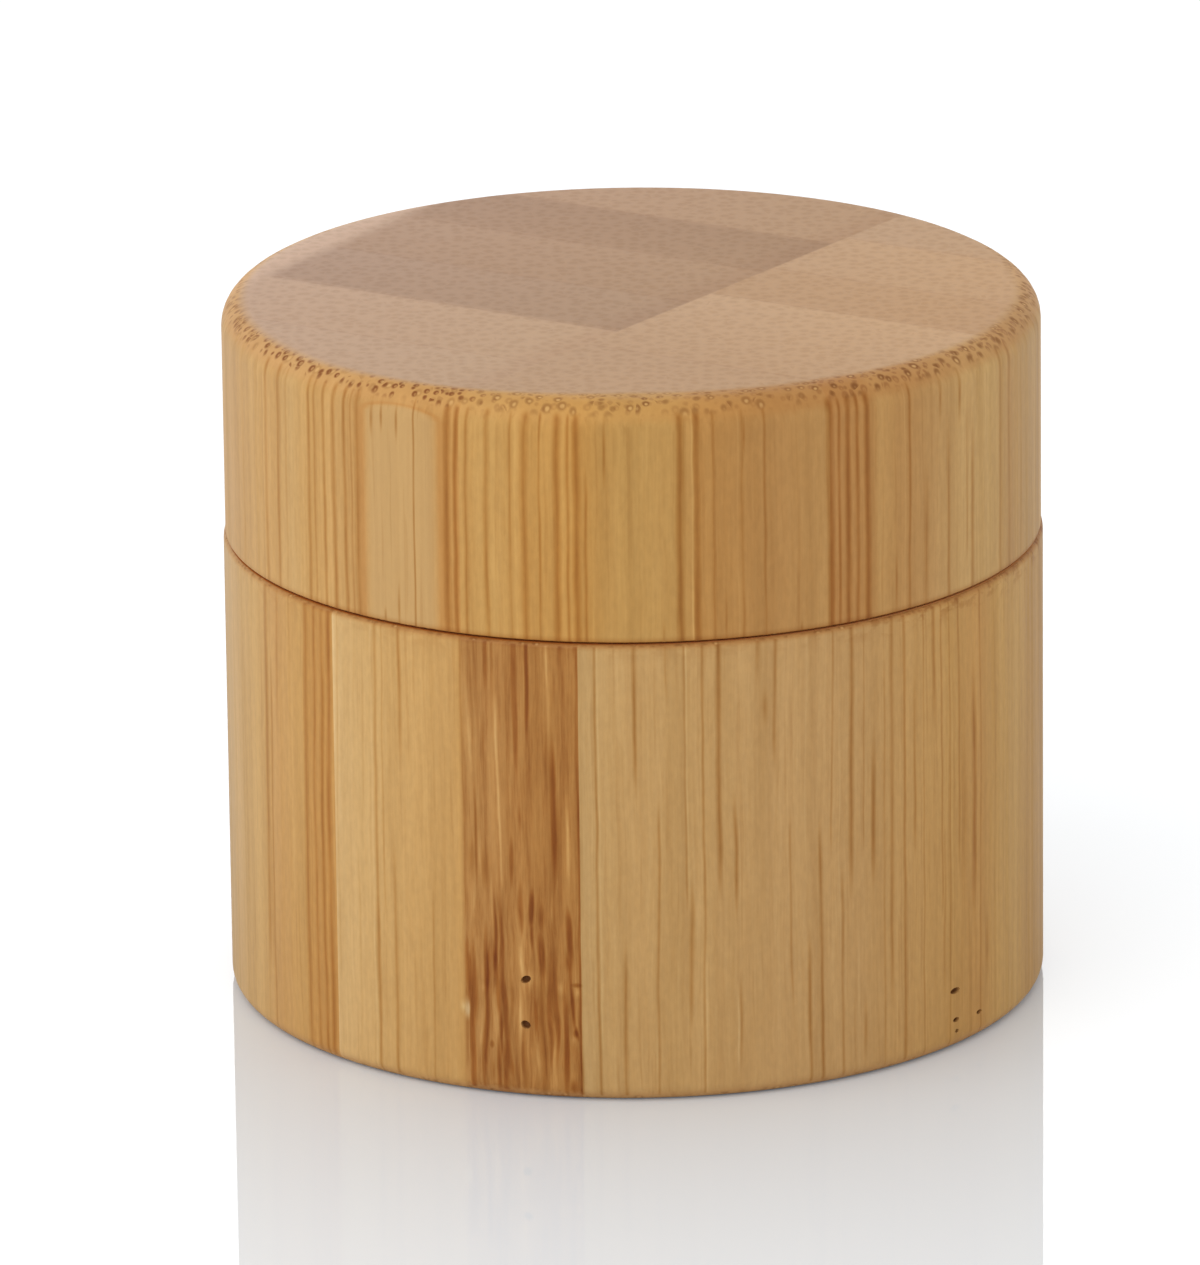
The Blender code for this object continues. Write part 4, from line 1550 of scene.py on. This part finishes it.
def node_marks() -> tuple[Mark, ...]:
    """Place the fibres of the strip that was cut at the culm's node.

    Returns:
        The straight streaks above, the red-brown flames below and the pale wood round the pits, which is
        partly painted highlight.
    """
    dark = (
        (-23.45, -8.0, 9.4, 0.34, 1.15, -0.2), (-23.2, 2.6, 7.4, 0.3, 0.81, 0.1),
        (-21.7, -0.6, 7.2, 0.3, 1.15, 0.4), (-21.6, 3.0, 9.6, 0.3, 1.15, -0.4),
        (-20.3, 5.8, 11.2, 0.28, 1.15), (-19.3, 4.6, 11.2, 0.3, 1.28, -0.6),
        (-18.75, 1.6, 8.0, 0.3, 1.15, -1.2), (-18.55, -0.4, 4.6, 0.3, 1.15, 0.6),
        (-19.6, -0.4, 3.6, 0.28, 1.08), (-19.4, 2.2, 5.8, 0.21, 0.81, -0.3),
        (-16.3, 9.1, 12.2, 0.28, 1.08, 0.1), (-14.8, 9.4, 11.7, 0.32, 1.35),
        (-14.7, 8.1, 10.2, 0.23, 0.81), (-13.2, 9.1, 11.0, 0.3, 0.81), (-13.4, 6.6, 9.4, 0.34, 1.28),
        (-12.3, 1.8, 8.3, 0.28, 1.22, 0.5), (-11.55, 1.8, 8.1, 0.28, 1.22, 0.4),
        (-11.8, 4.2, 8.2, 0.55, 0.94), (-9.55, 7.6, 10.7, 0.3, 1.35, -0.5),
        (-10.3, -0.6, 5.8, 0.34, 1.28, -0.2), (-9.15, 3.7, 6.6, 0.23, 1.08, -0.7),
        (-8.6, 3.3, 4.3, 0.23, 1.08, -0.5), (-9.2, 0.2, 1.3, 0.69, 0.68), (-20.9, 21.8, 33.0, 0.21, 1.22),
        (-16.9, 17.2, 33.0, 0.28, 1.35, -0.9), (-15.15, 19.2, 33.0, 0.22, 1.15, -0.4),
        (-17.6, 11.6, 14.5, 0.24, 1.28), (-11.4, 11.0, 21.0, 0.3, 1.15, -0.2),
        (-8.0, -8.0, 33.0, 0.21, 0.68), (-10.2, 23.3, 33.0, 0.24, 0.94), (-8.2, 23.6, 33.0, 0.24, 1.08),
        (-16.2, 14.6, 16.4, 0.2, 0.54),
    )
    orange = (
        (-20.7, 2.6, 3.1, 0.28, 1.2), (-8.6, 6.3, 6.6, 0.60, 1.1), (-8.8, 3.5, 4.0, 0.26, 1.2),
        (-13.45, -0.8, 8.2, 0.45, 0.85, 0.1), (-16.2, -0.6, 4.4, 0.32, 0.8, -0.1),
        (-12.3, 16.8, 21.7, 0.24, 0.6), (-22.85, 11.0, 18.0, 0.2, 0.7), (-23.6, 11.6, 14.8, 0.6, 0.5),
        (-24.55, 8.0, 33.0, 0.2, 0.4), (-19.9, 21.4, 33.0, 0.22, 0.6), (-21.4, 17.8, 21.2, 0.18, 0.6),
        (-17.9, 3.6, 7.4, 0.24, 0.5), (-20.5, 0.4, 2.4, 0.36, 0.5), (-10.9, 12.4, 17.6, 0.5, 0.6),
        (-9.9, 6.7, 8.8, 0.3, 0.5), (-21.6, 11.0, 14.4, 0.6, 0.6), (-23.0, 18.0, 21.4, 0.18, 0.4),
    )
    # Pale fibres, partly painted highlight beside the streaks and on the rims of the pits
    pale = (
        (-19.35, 10.4, 23.4, 0.22, 0.9, -0.3), (-23.5, 17.6, 23.0, 0.24, 0.8, -0.3),
        (-23.3, 9.0, 12.2, 0.24, 0.6), (-22.4, 11.4, 15.2, 0.2, 0.6), (-21.9, 17.6, 22.6, 0.16, 0.5),
        (-22.4, 0.8, 6.0, 0.26, 0.5), (-19.85, 6.6, 10.0, 0.18, 0.4), (-20.2, 2.2, 6.6, 0.5, 0.7, 0.2),
        (-16.3, 5.4, 9.0, 0.26, 0.85, -0.5), (-16.7, 2.6, 6.4, 0.28, 0.9, 0.1),
        (-15.3, 5.9, 7.3, 0.9, 0.7), (-14.4, 1.2, 3.6, 0.22, 0.6), (-12.0, 0.8, 5.0, 0.24, 0.7),
        (-11.6, 9.0, 11.6, 0.24, 0.8), (-9.5, 11.0, 17.6, 0.22, 0.9, -0.2),
        (-12.2, 18.8, 33.0, 0.22, 0.95, -0.5), (-10.7, 5.8, 6.7, 0.5, 0.7), (-8.4, 5.7, 6.4, 0.4, 0.7),
        (-9.2, 3.0, 3.8, 0.4, 0.6), (-22.0, 5.6, 6.3, 0.4, 0.6),
    )
    filler = ((-24.3, 4.0, 5.4, 0.40, 1.1, 0.1), (-24.9, 4.3, 5.2, 0.5, 0.5))
    marks = marks_from(dark, Tone.DARK) + marks_from(orange, Tone.STREAK)
    return marks + marks_from(pale, Tone.PALE_AND_HIGHLIGHT) + marks_from(filler, Tone.FILLER)


@dataclass
class BambooBody(TurnedPiece):
    """The turned body, which the jar stands on, with a rebate for the cup's flange."""

    name: str = "bamboo_body_shell"
    node: str = "bamboo_body"
    body: Body = Body.JAR
    slot: Slot = Slot.BODY
    wall: float = 6.2 * MM
    floor: float = 4.5 * MM
    rebate_width: float = 2.0 * MM
    rebate_depth: float = 1.5 * MM
    rim_round: float = 0.3 * MM
    base_round: float = 0.8 * MM
    bore_round: float = 0.6 * MM
    ring_heights_mm: tuple[float, ...] = (20.0, 14.0, 9.0, 7.5, 5.3, 3.7, 2.4, 1.3)
    pit_segments: tuple[int, int] = (20, 12)
    pits: tuple[Pit, ...] = (
        Pit(-15.55, 6.62 * MM, 0.58 * MM, 0.40 * MM, 28.0),
        Pit(-15.65, 4.1 * MM, 0.56 * MM, 0.44 * MM, -28.0),
        Pit(50.0, 3.3 * MM, 0.8 * MM, 0.34 * MM),
        Pit(50.2, 1.65 * MM, 0.5 * MM, 0.26 * MM),
        Pit(50.4, 1.0 * MM, 0.3 * MM, 0.22 * MM),
        Pit(55.7, 1.5 * MM, 0.5 * MM, 0.24 * MM),
    )

    def corners(self) -> list[Corner]:
        """Lay out the body's section.

        Returns:
            Its corners, with a few on the side that keep the faces round the pits short.
        """
        radius = self.high.x
        top = self.high.z
        bore = radius - self.wall
        rebate = bore + self.rebate_width
        ledge = top - self.rebate_depth
        rings = [Corner(radius, height * MM) for height in self.ring_heights_mm]
        return [
            Corner(0.0, self.floor),
            Corner(bore, self.floor, self.bore_round),
            Corner(bore, ledge),
            Corner(rebate, ledge),
            Corner(rebate, top),
            Corner(radius, top, self.rim_round),
            *rings,
            Corner(radius, self.low.z, self.base_round),
            Corner(0.0, self.low.z),
        ]

    def material(self) -> bpy.types.Material:
        """Dress the body.

        Returns:
            Its bamboo, with the strip that was cut at a node.
        """
        return BambooFinish(
            name="bamboo_body_finish",
            strips=BODY_STRIPS,
            marks=body_marks(),
            tone_and_light_sectors=BODY_TONES_AND_LIGHT,
            radius_mm=self.high.x * MM_PER_METRE,
            bundle_length_mm=34.0,
            shift_mm=(3.0, 7.0, 11.0),
            edge_stops=((-180.0, srgb(190, 142, 88)), (180.0, srgb(190, 142, 88))),
            node_zone=(-24.5, -7.8, 11.5),
        ).build()

    def detail(self, obj: bpy.types.Object, finish: bpy.types.Material) -> bpy.types.Object:
        """Sink the node's pits into the side.

        Args:
            obj: The turned body.
            finish: Its material.

        Returns:
            The body with its pits.
        """
        shape = bmesh.new()
        around, down = self.pit_segments
        for pit in self.pits:
            turn = Matrix.Rotation(math.radians(pit.azimuth), 4, "Z")
            place = Matrix.Translation((0.0, -self.high.x, pit.height))
            lean = Matrix.Rotation(math.radians(-pit.slant), 4, "Y")
            size = Matrix.Diagonal((pit.width / 2, pit.depth, pit.tall / 2, 1.0))
            where = turn @ place @ lean @ size
            bmesh.ops.create_uvsphere(shape, u_segments=around, v_segments=down, radius=1.0, matrix=where)
        return combined(obj, tool_from(shape, "pits", finish), "DIFFERENCE")


@dataclass
class BambooLid(TurnedPiece):
    """The turned lid with the round along its top edge."""

    name: str = "bamboo_lid_shell"
    node: str = "bamboo_lid"
    body: Body = Body.LID
    slot: Slot = Slot.LID
    bore_radius: float = 17.5 * MM
    crown: float = 3.0 * MM
    top_round: float = 1.55 * MM
    rim_round: float = 0.12 * MM
    bore_round: float = 0.6 * MM
    seam: float = 0.11 * MM

    def corners(self) -> list[Corner]:
        """Lay out the lid's section.

        Returns:
            Its corners, down to the thin seam above the body.
        """
        radius = self.high.x
        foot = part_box("bamboo_body")[1].z + self.seam
        return [
            Corner(0.0, self.high.z),
            Corner(radius, self.high.z, self.top_round),
            Corner(radius, foot, self.rim_round),
            Corner(self.bore_radius, foot),
            Corner(self.bore_radius, self.high.z - self.crown, self.bore_round),
            Corner(0.0, self.high.z - self.crown),
        ]

    def material(self) -> bpy.types.Material:
        """Dress the lid.

        Returns:
            Its bamboo, with the thin pale strip and the marks along the round.
        """
        return BambooFinish(
            name="bamboo_lid_finish",
            strips=LID_STRIPS,
            marks=lid_marks(),
            tone_and_light_sectors=LID_TONES_AND_LIGHT,
            radius_mm=self.high.x * MM_PER_METRE,
            bundle_length_mm=60.0,
            shift_mm=(41.0, 23.0, 5.0),
            ring_stops=LID_RINGS,
            comma_stops=LID_COMMAS,
            burnish_stops=LID_BURNISH,
            plank_azimuth=-33.7,
            plank_depth_mm=0.13,
        ).build()


@dataclass
class Thread:
    """The jar's single-start screw thread, of which the neck and the cap each carry a ridge."""

    lead: float = 3.0 * MM
    turns: float = 1.25
    root_width: float = 1.1 * MM
    crest_width: float = 0.5 * MM
    sunk: float = 0.15 * MM
    run_out_share: float = 0.08
    steps_per_turn: int = 96
    start_angle: float = -math.pi / 2

    def ridge(
        self, name: str, wall: float, depth: float, facing: float, foot: float, finish: bpy.types.Material
    ) -> bpy.types.Object:
        """Wind one ridge.

        Args:
            name: The ridge's name.
            wall: The radius of the wall that carries it.
            depth: How far it stands off the wall.
            facing: 1 for a ridge that stands outwards, -1 for one that stands inwards.
            foot: The height of the ridge's middle where it starts, at the front of the jar.
            finish: Its material.

        Returns:
            The ridge, sunk a little into its wall.
        """
        values = {
            "Steps": self.steps_per_turn,
            "Turns": self.turns,
            "Lead": self.lead,
            "Wall Radius": wall + facing * (depth - self.sunk) / 2,
            "Depth": depth + self.sunk,
            "Root Width": self.root_width,
            "Crest Width": self.crest_width,
            "Facing": facing,
            "Foot": foot,
            "Start Angle": self.start_angle,
            "Run Out Share": self.run_out_share,
            "Finish": finish,
        }
        return thread_tree().run(name, bpy.data.meshes.new(name), values)


@dataclass
class CupInsert(TurnedPiece):
    """The moulded cup that holds the cream, with its flange, neck, disc seat and thread."""

    name: str = "cup_insert"
    node: str = "inner_cup"
    body: Body = Body.JAR
    slot: Slot = Slot.CUP
    steps: int = 192
    wall: float = 1.3 * MM
    draft: float = 0.4 * MM
    flange_thickness: float = 1.2 * MM
    flange_round: float = 0.3 * MM
    neck_height: float = 7.0 * MM
    rim_round: float = 0.3 * MM
    floor_round: float = 4.2 * MM
    outer_radius: float = 14.5 * MM
    seat_width: float = 0.6 * MM
    seat_depth: float = 0.9 * MM
    rib_count: int = 12
    rib_height: float = 1.0 * MM
    rib_width: float = 1.1 * MM
    rib_end: float = 5.0 * MM
    ridge_depth: float = 0.8 * MM
    ridge_foot: float = 27.8 * MM

    def corners(self) -> list[Corner]:
        """Lay out the cup's section.

        Returns:
            Its corners, up the inside, over the neck and the flange, and down to the foot.
        """
        inner = self.outer_radius - self.wall
        foot = self.low.z
        top = self.high.z
        flange_top = top - self.neck_height
        flange_foot = flange_top - self.flange_thickness
        return [
            Corner(0.0, foot + self.wall),
            Corner(inner - self.draft, foot + self.wall, self.floor_round),
            Corner(inner, flange_foot),
            Corner(inner, top - self.seat_depth),
            Corner(inner + self.seat_width, top - self.seat_depth),
            Corner(inner + self.seat_width, top),
            Corner(self.outer_radius, top, self.rim_round),
            Corner(self.outer_radius, flange_top),
            Corner(self.high.x, flange_top, self.flange_round),
            Corner(self.high.x, flange_foot),
            Corner(self.outer_radius, flange_foot),
            Corner(self.outer_radius - self.draft, foot, self.floor_round + self.wall),
            Corner(0.0, foot),
        ]

    def material(self) -> bpy.types.Material:
        """Return the cup's plastic."""
        return MouldedFinish("cup_white").build()

    def detail(self, obj: bpy.types.Object, finish: bpy.types.Material) -> bpy.types.Object:
        """Add the locating ribs below the flange and the neck's thread.

        Args:
            obj: The turned cup.
            finish: Its material.

        Returns:
            The cup with its ribs and thread.
        """
        values = {
            "Count": self.rib_count,
            "Inner Radius": self.outer_radius - self.draft - self.wall / 2,
            "Outer Radius": self.outer_radius + self.rib_height,
            "Width": self.rib_width,
            "Foot": self.low.z + self.rib_end,
            "Head": self.high.z - self.neck_height - self.flange_thickness / 2,
            "Finish": finish,
        }
        obj = combined(obj, rib_tree().run("cup_ribs", bpy.data.meshes.new("cup_ribs"), values), "UNION")
        wall = self.outer_radius
        ridge = Thread().ridge("neck_thread", wall, self.ridge_depth, 1.0, self.ridge_foot, finish)
        return combined(obj, ridge, "UNION")


@dataclass
class ClosingDisc(TurnedPiece):
    """The dished disc that seals the cup, with a half-moon tab to lift it by."""

    name: str = "closing_disc"
    node: str = "sealing_disc"
    body: Body = Body.DISC
    slot: Slot = Slot.DISC
    steps: int = 192
    rim_thickness: float = 0.6 * MM
    web: float = 0.7 * MM
    dish_radius: float = 12.9 * MM
    dish_draft: float = 0.3 * MM
    corner_round: float = 0.5 * MM
    tab_length: float = 8.0 * MM
    tab_height: float = 1.7 * MM
    tab_thickness: float = 1.2 * MM
    tab_offset: float = 6.0 * MM
    tab_steps: int = 32

    def corners(self) -> list[Corner]:
        """Lay out the disc's section.

        Returns:
            Its corners, from the dished web over the rim.
        """
        web_top = self.low.z + self.web
        shoulder = self.high.z - self.rim_thickness
        inner = self.dish_radius - self.web
        return [
            Corner(0.0, web_top),
            Corner(inner - self.dish_draft, web_top, self.corner_round),
            Corner(inner, self.high.z),
            Corner(self.high.x, self.high.z),
            Corner(self.high.x, shoulder),
            Corner(self.dish_radius, shoulder),
            Corner(self.dish_radius - self.dish_draft, self.low.z, self.corner_round),
            Corner(0.0, self.low.z),
        ]

    def material(self) -> bpy.types.Material:
        """Return the disc's plastic."""
        return MouldedFinish("disc_white", texture_mm=0.35).build()

    def detail(self, obj: bpy.types.Object, finish: bpy.types.Material) -> bpy.types.Object:
        """Stand the half-moon tab on the web.

        Args:
            obj: The turned disc.
            finish: Its material.

        Returns:
            The disc with its tab.
        """
        web_top = self.low.z + self.web
        half = self.tab_length / 2
        outline = [(-half, -self.web / 2), (half, -self.web / 2)]
        for step in range(self.tab_steps + 1):
            angle = math.pi * step / self.tab_steps
            outline.append((half * math.cos(angle), self.tab_height * math.sin(angle)))
        shape = bmesh.new()
        front = -self.tab_offset - self.tab_thickness / 2
        face = shape.faces.new([shape.verts.new((across, front, web_top + up)) for across, up in outline])
        extruded = bmesh.ops.extrude_face_region(shape, geom=[face])["geom"]
        moved = [item for item in extruded if isinstance(item, bmesh.types.BMVert)]
        bmesh.ops.translate(shape, verts=moved, vec=(0.0, self.tab_thickness, 0.0))
        bmesh.ops.recalc_face_normals(shape, faces=shape.faces)
        return combined(obj, tool_from(shape, "pull_tab", finish), "UNION")


@dataclass
class FoamWad(TurnedPiece):
    """The punched foam liner in the cap's ceiling."""

    name: str = "foam_wad"
    node: str = "liner"
    body: Body = Body.WAD
    slot: Slot = Slot.WAD
    steps: int = 192
    edge_round: float = 0.12 * MM

    def corners(self) -> list[Corner]:
        """Lay out the wad's section.

        Returns:
            Its corners, with the edges that the punch rounds over.
        """
        return [
            Corner(0.0, self.high.z),
            Corner(self.high.x, self.high.z, self.edge_round),
            Corner(self.high.x, self.low.z, self.edge_round),
            Corner(0.0, self.low.z),
        ]

    def material(self) -> bpy.types.Material:
        """Return the wad's foam."""
        return FoamFinish("liner_white").build()


@dataclass
class CapInsert(TurnedPiece):
    """The threaded cap inside the lid, with its collar, gripping ribs and liner bead."""

    name: str = "cap_insert"
    node: str = "inner_cap"
    body: Body = Body.LID
    slot: Slot = Slot.CAP
    steps: int = 192
    inner_radius: float = 15.6 * MM
    wall: float = 1.1 * MM
    crown: float = 1.1 * MM
    collar_height: float = 1.2 * MM
    corner_round: float = 0.8 * MM
    mouth_round: float = 0.15 * MM
    bead: float = 0.2 * MM
    bead_height: float = 0.6 * MM
    bead_gap: float = 0.3 * MM
    rib_count: int = 24
    rib_width: float = 0.7 * MM
    ridge_depth: float = 0.75 * MM
    ridge_foot: float = 26.45 * MM

    def corners(self) -> list[Corner]:
        """Lay out the cap's section.

        Returns:
            Its corners, over the crown, down to the collar and up past the liner's bead.
        """
        wad_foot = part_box("liner")[0].z
        outer = self.inner_radius + self.wall
        collar_top = self.low.z + self.collar_height
        ceiling = self.high.z - self.crown
        bead_foot = wad_foot - self.bead_gap - self.bead_height
        return [
            Corner(0.0, self.high.z),
            Corner(outer, self.high.z, self.corner_round),
            Corner(outer, collar_top),
            Corner(self.high.x, collar_top),
            Corner(self.high.x, self.low.z, self.mouth_round),
            Corner(self.inner_radius, self.low.z, self.mouth_round),
            Corner(self.inner_radius, bead_foot),
            Corner(self.inner_radius - self.bead, bead_foot + self.bead_height / 2, self.bead / 2),
            Corner(self.inner_radius, bead_foot + self.bead_height),
            Corner(self.inner_radius, ceiling),
            Corner(0.0, ceiling),
        ]

    def material(self) -> bpy.types.Material:
        """Return the cap's plastic."""
        return MouldedFinish("cap_white").build()

    def detail(self, obj: bpy.types.Object, finish: bpy.types.Material) -> bpy.types.Object:
        """Add the ribs that grip the lid and the thread inside.

        Args:
            obj: The turned cap.
            finish: Its material.

        Returns:
            The cap with its ribs and thread.
        """
        outer = self.inner_radius + self.wall
        values = {
            "Count": self.rib_count,
            "Inner Radius": outer - self.wall / 2,
            "Outer Radius": self.high.x,
            "Width": self.rib_width,
            "Foot": self.low.z + self.collar_height / 2,
            "Head": self.high.z - self.corner_round,
            "Finish": finish,
        }
        obj = combined(obj, rib_tree().run("cap_ribs", bpy.data.meshes.new("cap_ribs"), values), "UNION")
        wall = self.inner_radius
        ridge = Thread().ridge("cap_thread", wall, self.ridge_depth, -1.0, self.ridge_foot, finish)
        return combined(obj, ridge, "UNION")


@dataclass(frozen=True)
class Studio:
    """A white sheet under soft light, and a camera where the photograph was taken from."""

    lens_mm: float = 359.0
    distance: float = 679.8 * MM
    elevation: float = math.radians(17.5)
    roll: float = math.radians(-0.669)
    look_height: float = 18.28 * MM
    aim_right: float = -1.85 * MM
    aim_up: float = 0.72 * MM
    floor_size: float = 8.0
    ambient: float = 0.77
    key_power: float = 2.56
    key_size: float = 1.1
    sheet_white: Triple = (1.10, 1.125, 1.145)
    sheet_matt: tuple[float, float] = (0.62, 0.93)
    matt_reach: tuple[float, float] = (30 * MM, 90 * MM)
    sheet_light: float = 0.93
    sheet_gloss: float = 0.15
    mirrored_backdrop: float = 3.05
    fade_start: float = 28 * MM
    fade_length: float = 100 * MM
    most_shine: float = 1.1
    clip: tuple[float, float] = (0.01, 20.0)
    key_place: Triple = (-0.42, -0.42, 0.50)

    def camera(self) -> None:
        """Set up the camera, turned a little off the jar's middle as in the photograph."""
        data = bpy.data.cameras.new("camera")
        data.lens = self.lens_mm
        data.clip_start, data.clip_end = self.clip
        camera = linked("camera", data)
        back = Vector((0.0, -math.cos(self.elevation), math.sin(self.elevation)))
        up = Vector((0.0, math.sin(self.elevation), math.cos(self.elevation)))
        camera.location = Vector((0.0, 0.0, self.look_height)) + back * self.distance
        aim = Vector((self.aim_right, 0.0, self.look_height)) + up * self.aim_up
        look = (aim - camera.location).to_track_quat("-Z", "Y")
        camera.rotation_mode = "QUATERNION"
        camera.rotation_quaternion = look @ Quaternion((0.0, 0.0, 1.0), self.roll)
        bpy.context.scene.camera = camera

    def seen(self, g: Graph) -> Socket:
        """Tell the backdrop that is looked at from the one that gives light.

        Args:
            g: The tree of the floor or the room.

        Returns:
            1 where the eye, a reflection or a clear piece looks, and 0 for the light.
        """
        path = g.add("ShaderNodeLightPath").outputs
        direct = g.math("MAXIMUM", path["Is Camera Ray"], path["Is Glossy Ray"])
        return g.math("MAXIMUM", direct, path["Is Transmission Ray"])

    def floor(self) -> None:
        """Lay the polished white sheet, whose top is the jar's ground plane."""
        half = self.floor_size / 2
        mesh = bpy.data.meshes.new("floor")
        corners = [(-half, -half, 0.0), (half, -half, 0.0), (half, half, 0.0), (-half, half, 0.0)]
        mesh.from_pydata(corners, [], [(0, 1, 2, 3)])
        floor = linked("floor", mesh)
        material = bpy.data.materials.new("white_sheet")
        material.use_nodes = True
        tree = material.node_tree
        tree.nodes.clear()
        g = Graph(tree)
        place = g.add("ShaderNodeTexCoord").outputs["Object"]
        reach = g.measure("LENGTH", place)
        beyond = g.math("MULTIPLY_ADD", reach, -1 / self.fade_length, self.fade_start / self.fade_length)
        near = g.math("MINIMUM", g.math("EXPONENT", beyond), self.most_shine)
        shine = g.times(near, self.sheet_gloss)
        pale = g.remap(reach, *self.matt_reach, *self.sheet_matt)
        matt = g.give("ShaderNodeBsdfDiffuse", {"Color": pale})
        gloss = g.give("ShaderNodeBsdfGlossy", {"Color": shine, "Roughness": 0.0})
        sheet = g.give("ShaderNodeAddShader", {0: matt, 1: gloss})
        given = g.times(pale, self.sheet_light)
        given = g.math("MULTIPLY_ADD", shine, self.mirrored_backdrop, given)
        missing = g.vector("SUBTRACT", self.sheet_white, given)
        glow = g.give("ShaderNodeEmission", {"Color": missing, "Strength": self.seen(g)})
        both = g.give("ShaderNodeAddShader", {0: sheet, 1: glow})
        g.add("ShaderNodeOutputMaterial", {"Surface": both})
        mesh.materials.append(material)

    def light(self) -> None:
        """Fill the room with plain light and add a large soft key from the left front."""
        world = bpy.data.worlds.new("studio")
        world.use_nodes = True
        bpy.context.scene.world = world
        tree = world.node_tree
        tree.nodes.clear()
        g = Graph(tree)
        seen = self.seen(g)
        room = g.give("ShaderNodeBackground", {"Color": grey(1.0), "Strength": self.ambient})
        sharp = g.add("ShaderNodeLightPath").outputs["Is Singular Ray"]
        strength = g.math("MULTIPLY_ADD", sharp, self.mirrored_backdrop - 1.0, 1.0)
        backdrop = g.give("ShaderNodeBackground", {"Color": grey(1.0), "Strength": strength})
        around = g.give("ShaderNodeMixShader", {0: seen, 1: room, 2: backdrop})
        g.add("ShaderNodeOutputWorld", {"Surface": around})
        data = bpy.data.lights.new("key", "AREA")
        data.shape = "DISK"
        data.size = self.key_size
        data.energy = self.key_power
        key = linked("key", data)
        key.visible_camera = False
        key.location = self.key_place
        target = Vector((0.0, 0.0, self.look_height))
        key.rotation_mode = "QUATERNION"
        key.rotation_quaternion = (target - key.location).to_track_quat("-Z", "Y")


def main() -> None:
    """Build the jar, its light and its camera."""
    studio = Studio()
    studio.camera()
    studio.floor()
    studio.light()
    bpy.context.scene.view_settings.view_transform = "Standard"
    for piece in (BambooBody(), CupInsert(), ClosingDisc(), FoamWad(), CapInsert(), BambooLid()):
        piece.build()


if __name__ == "__main__":
    main()
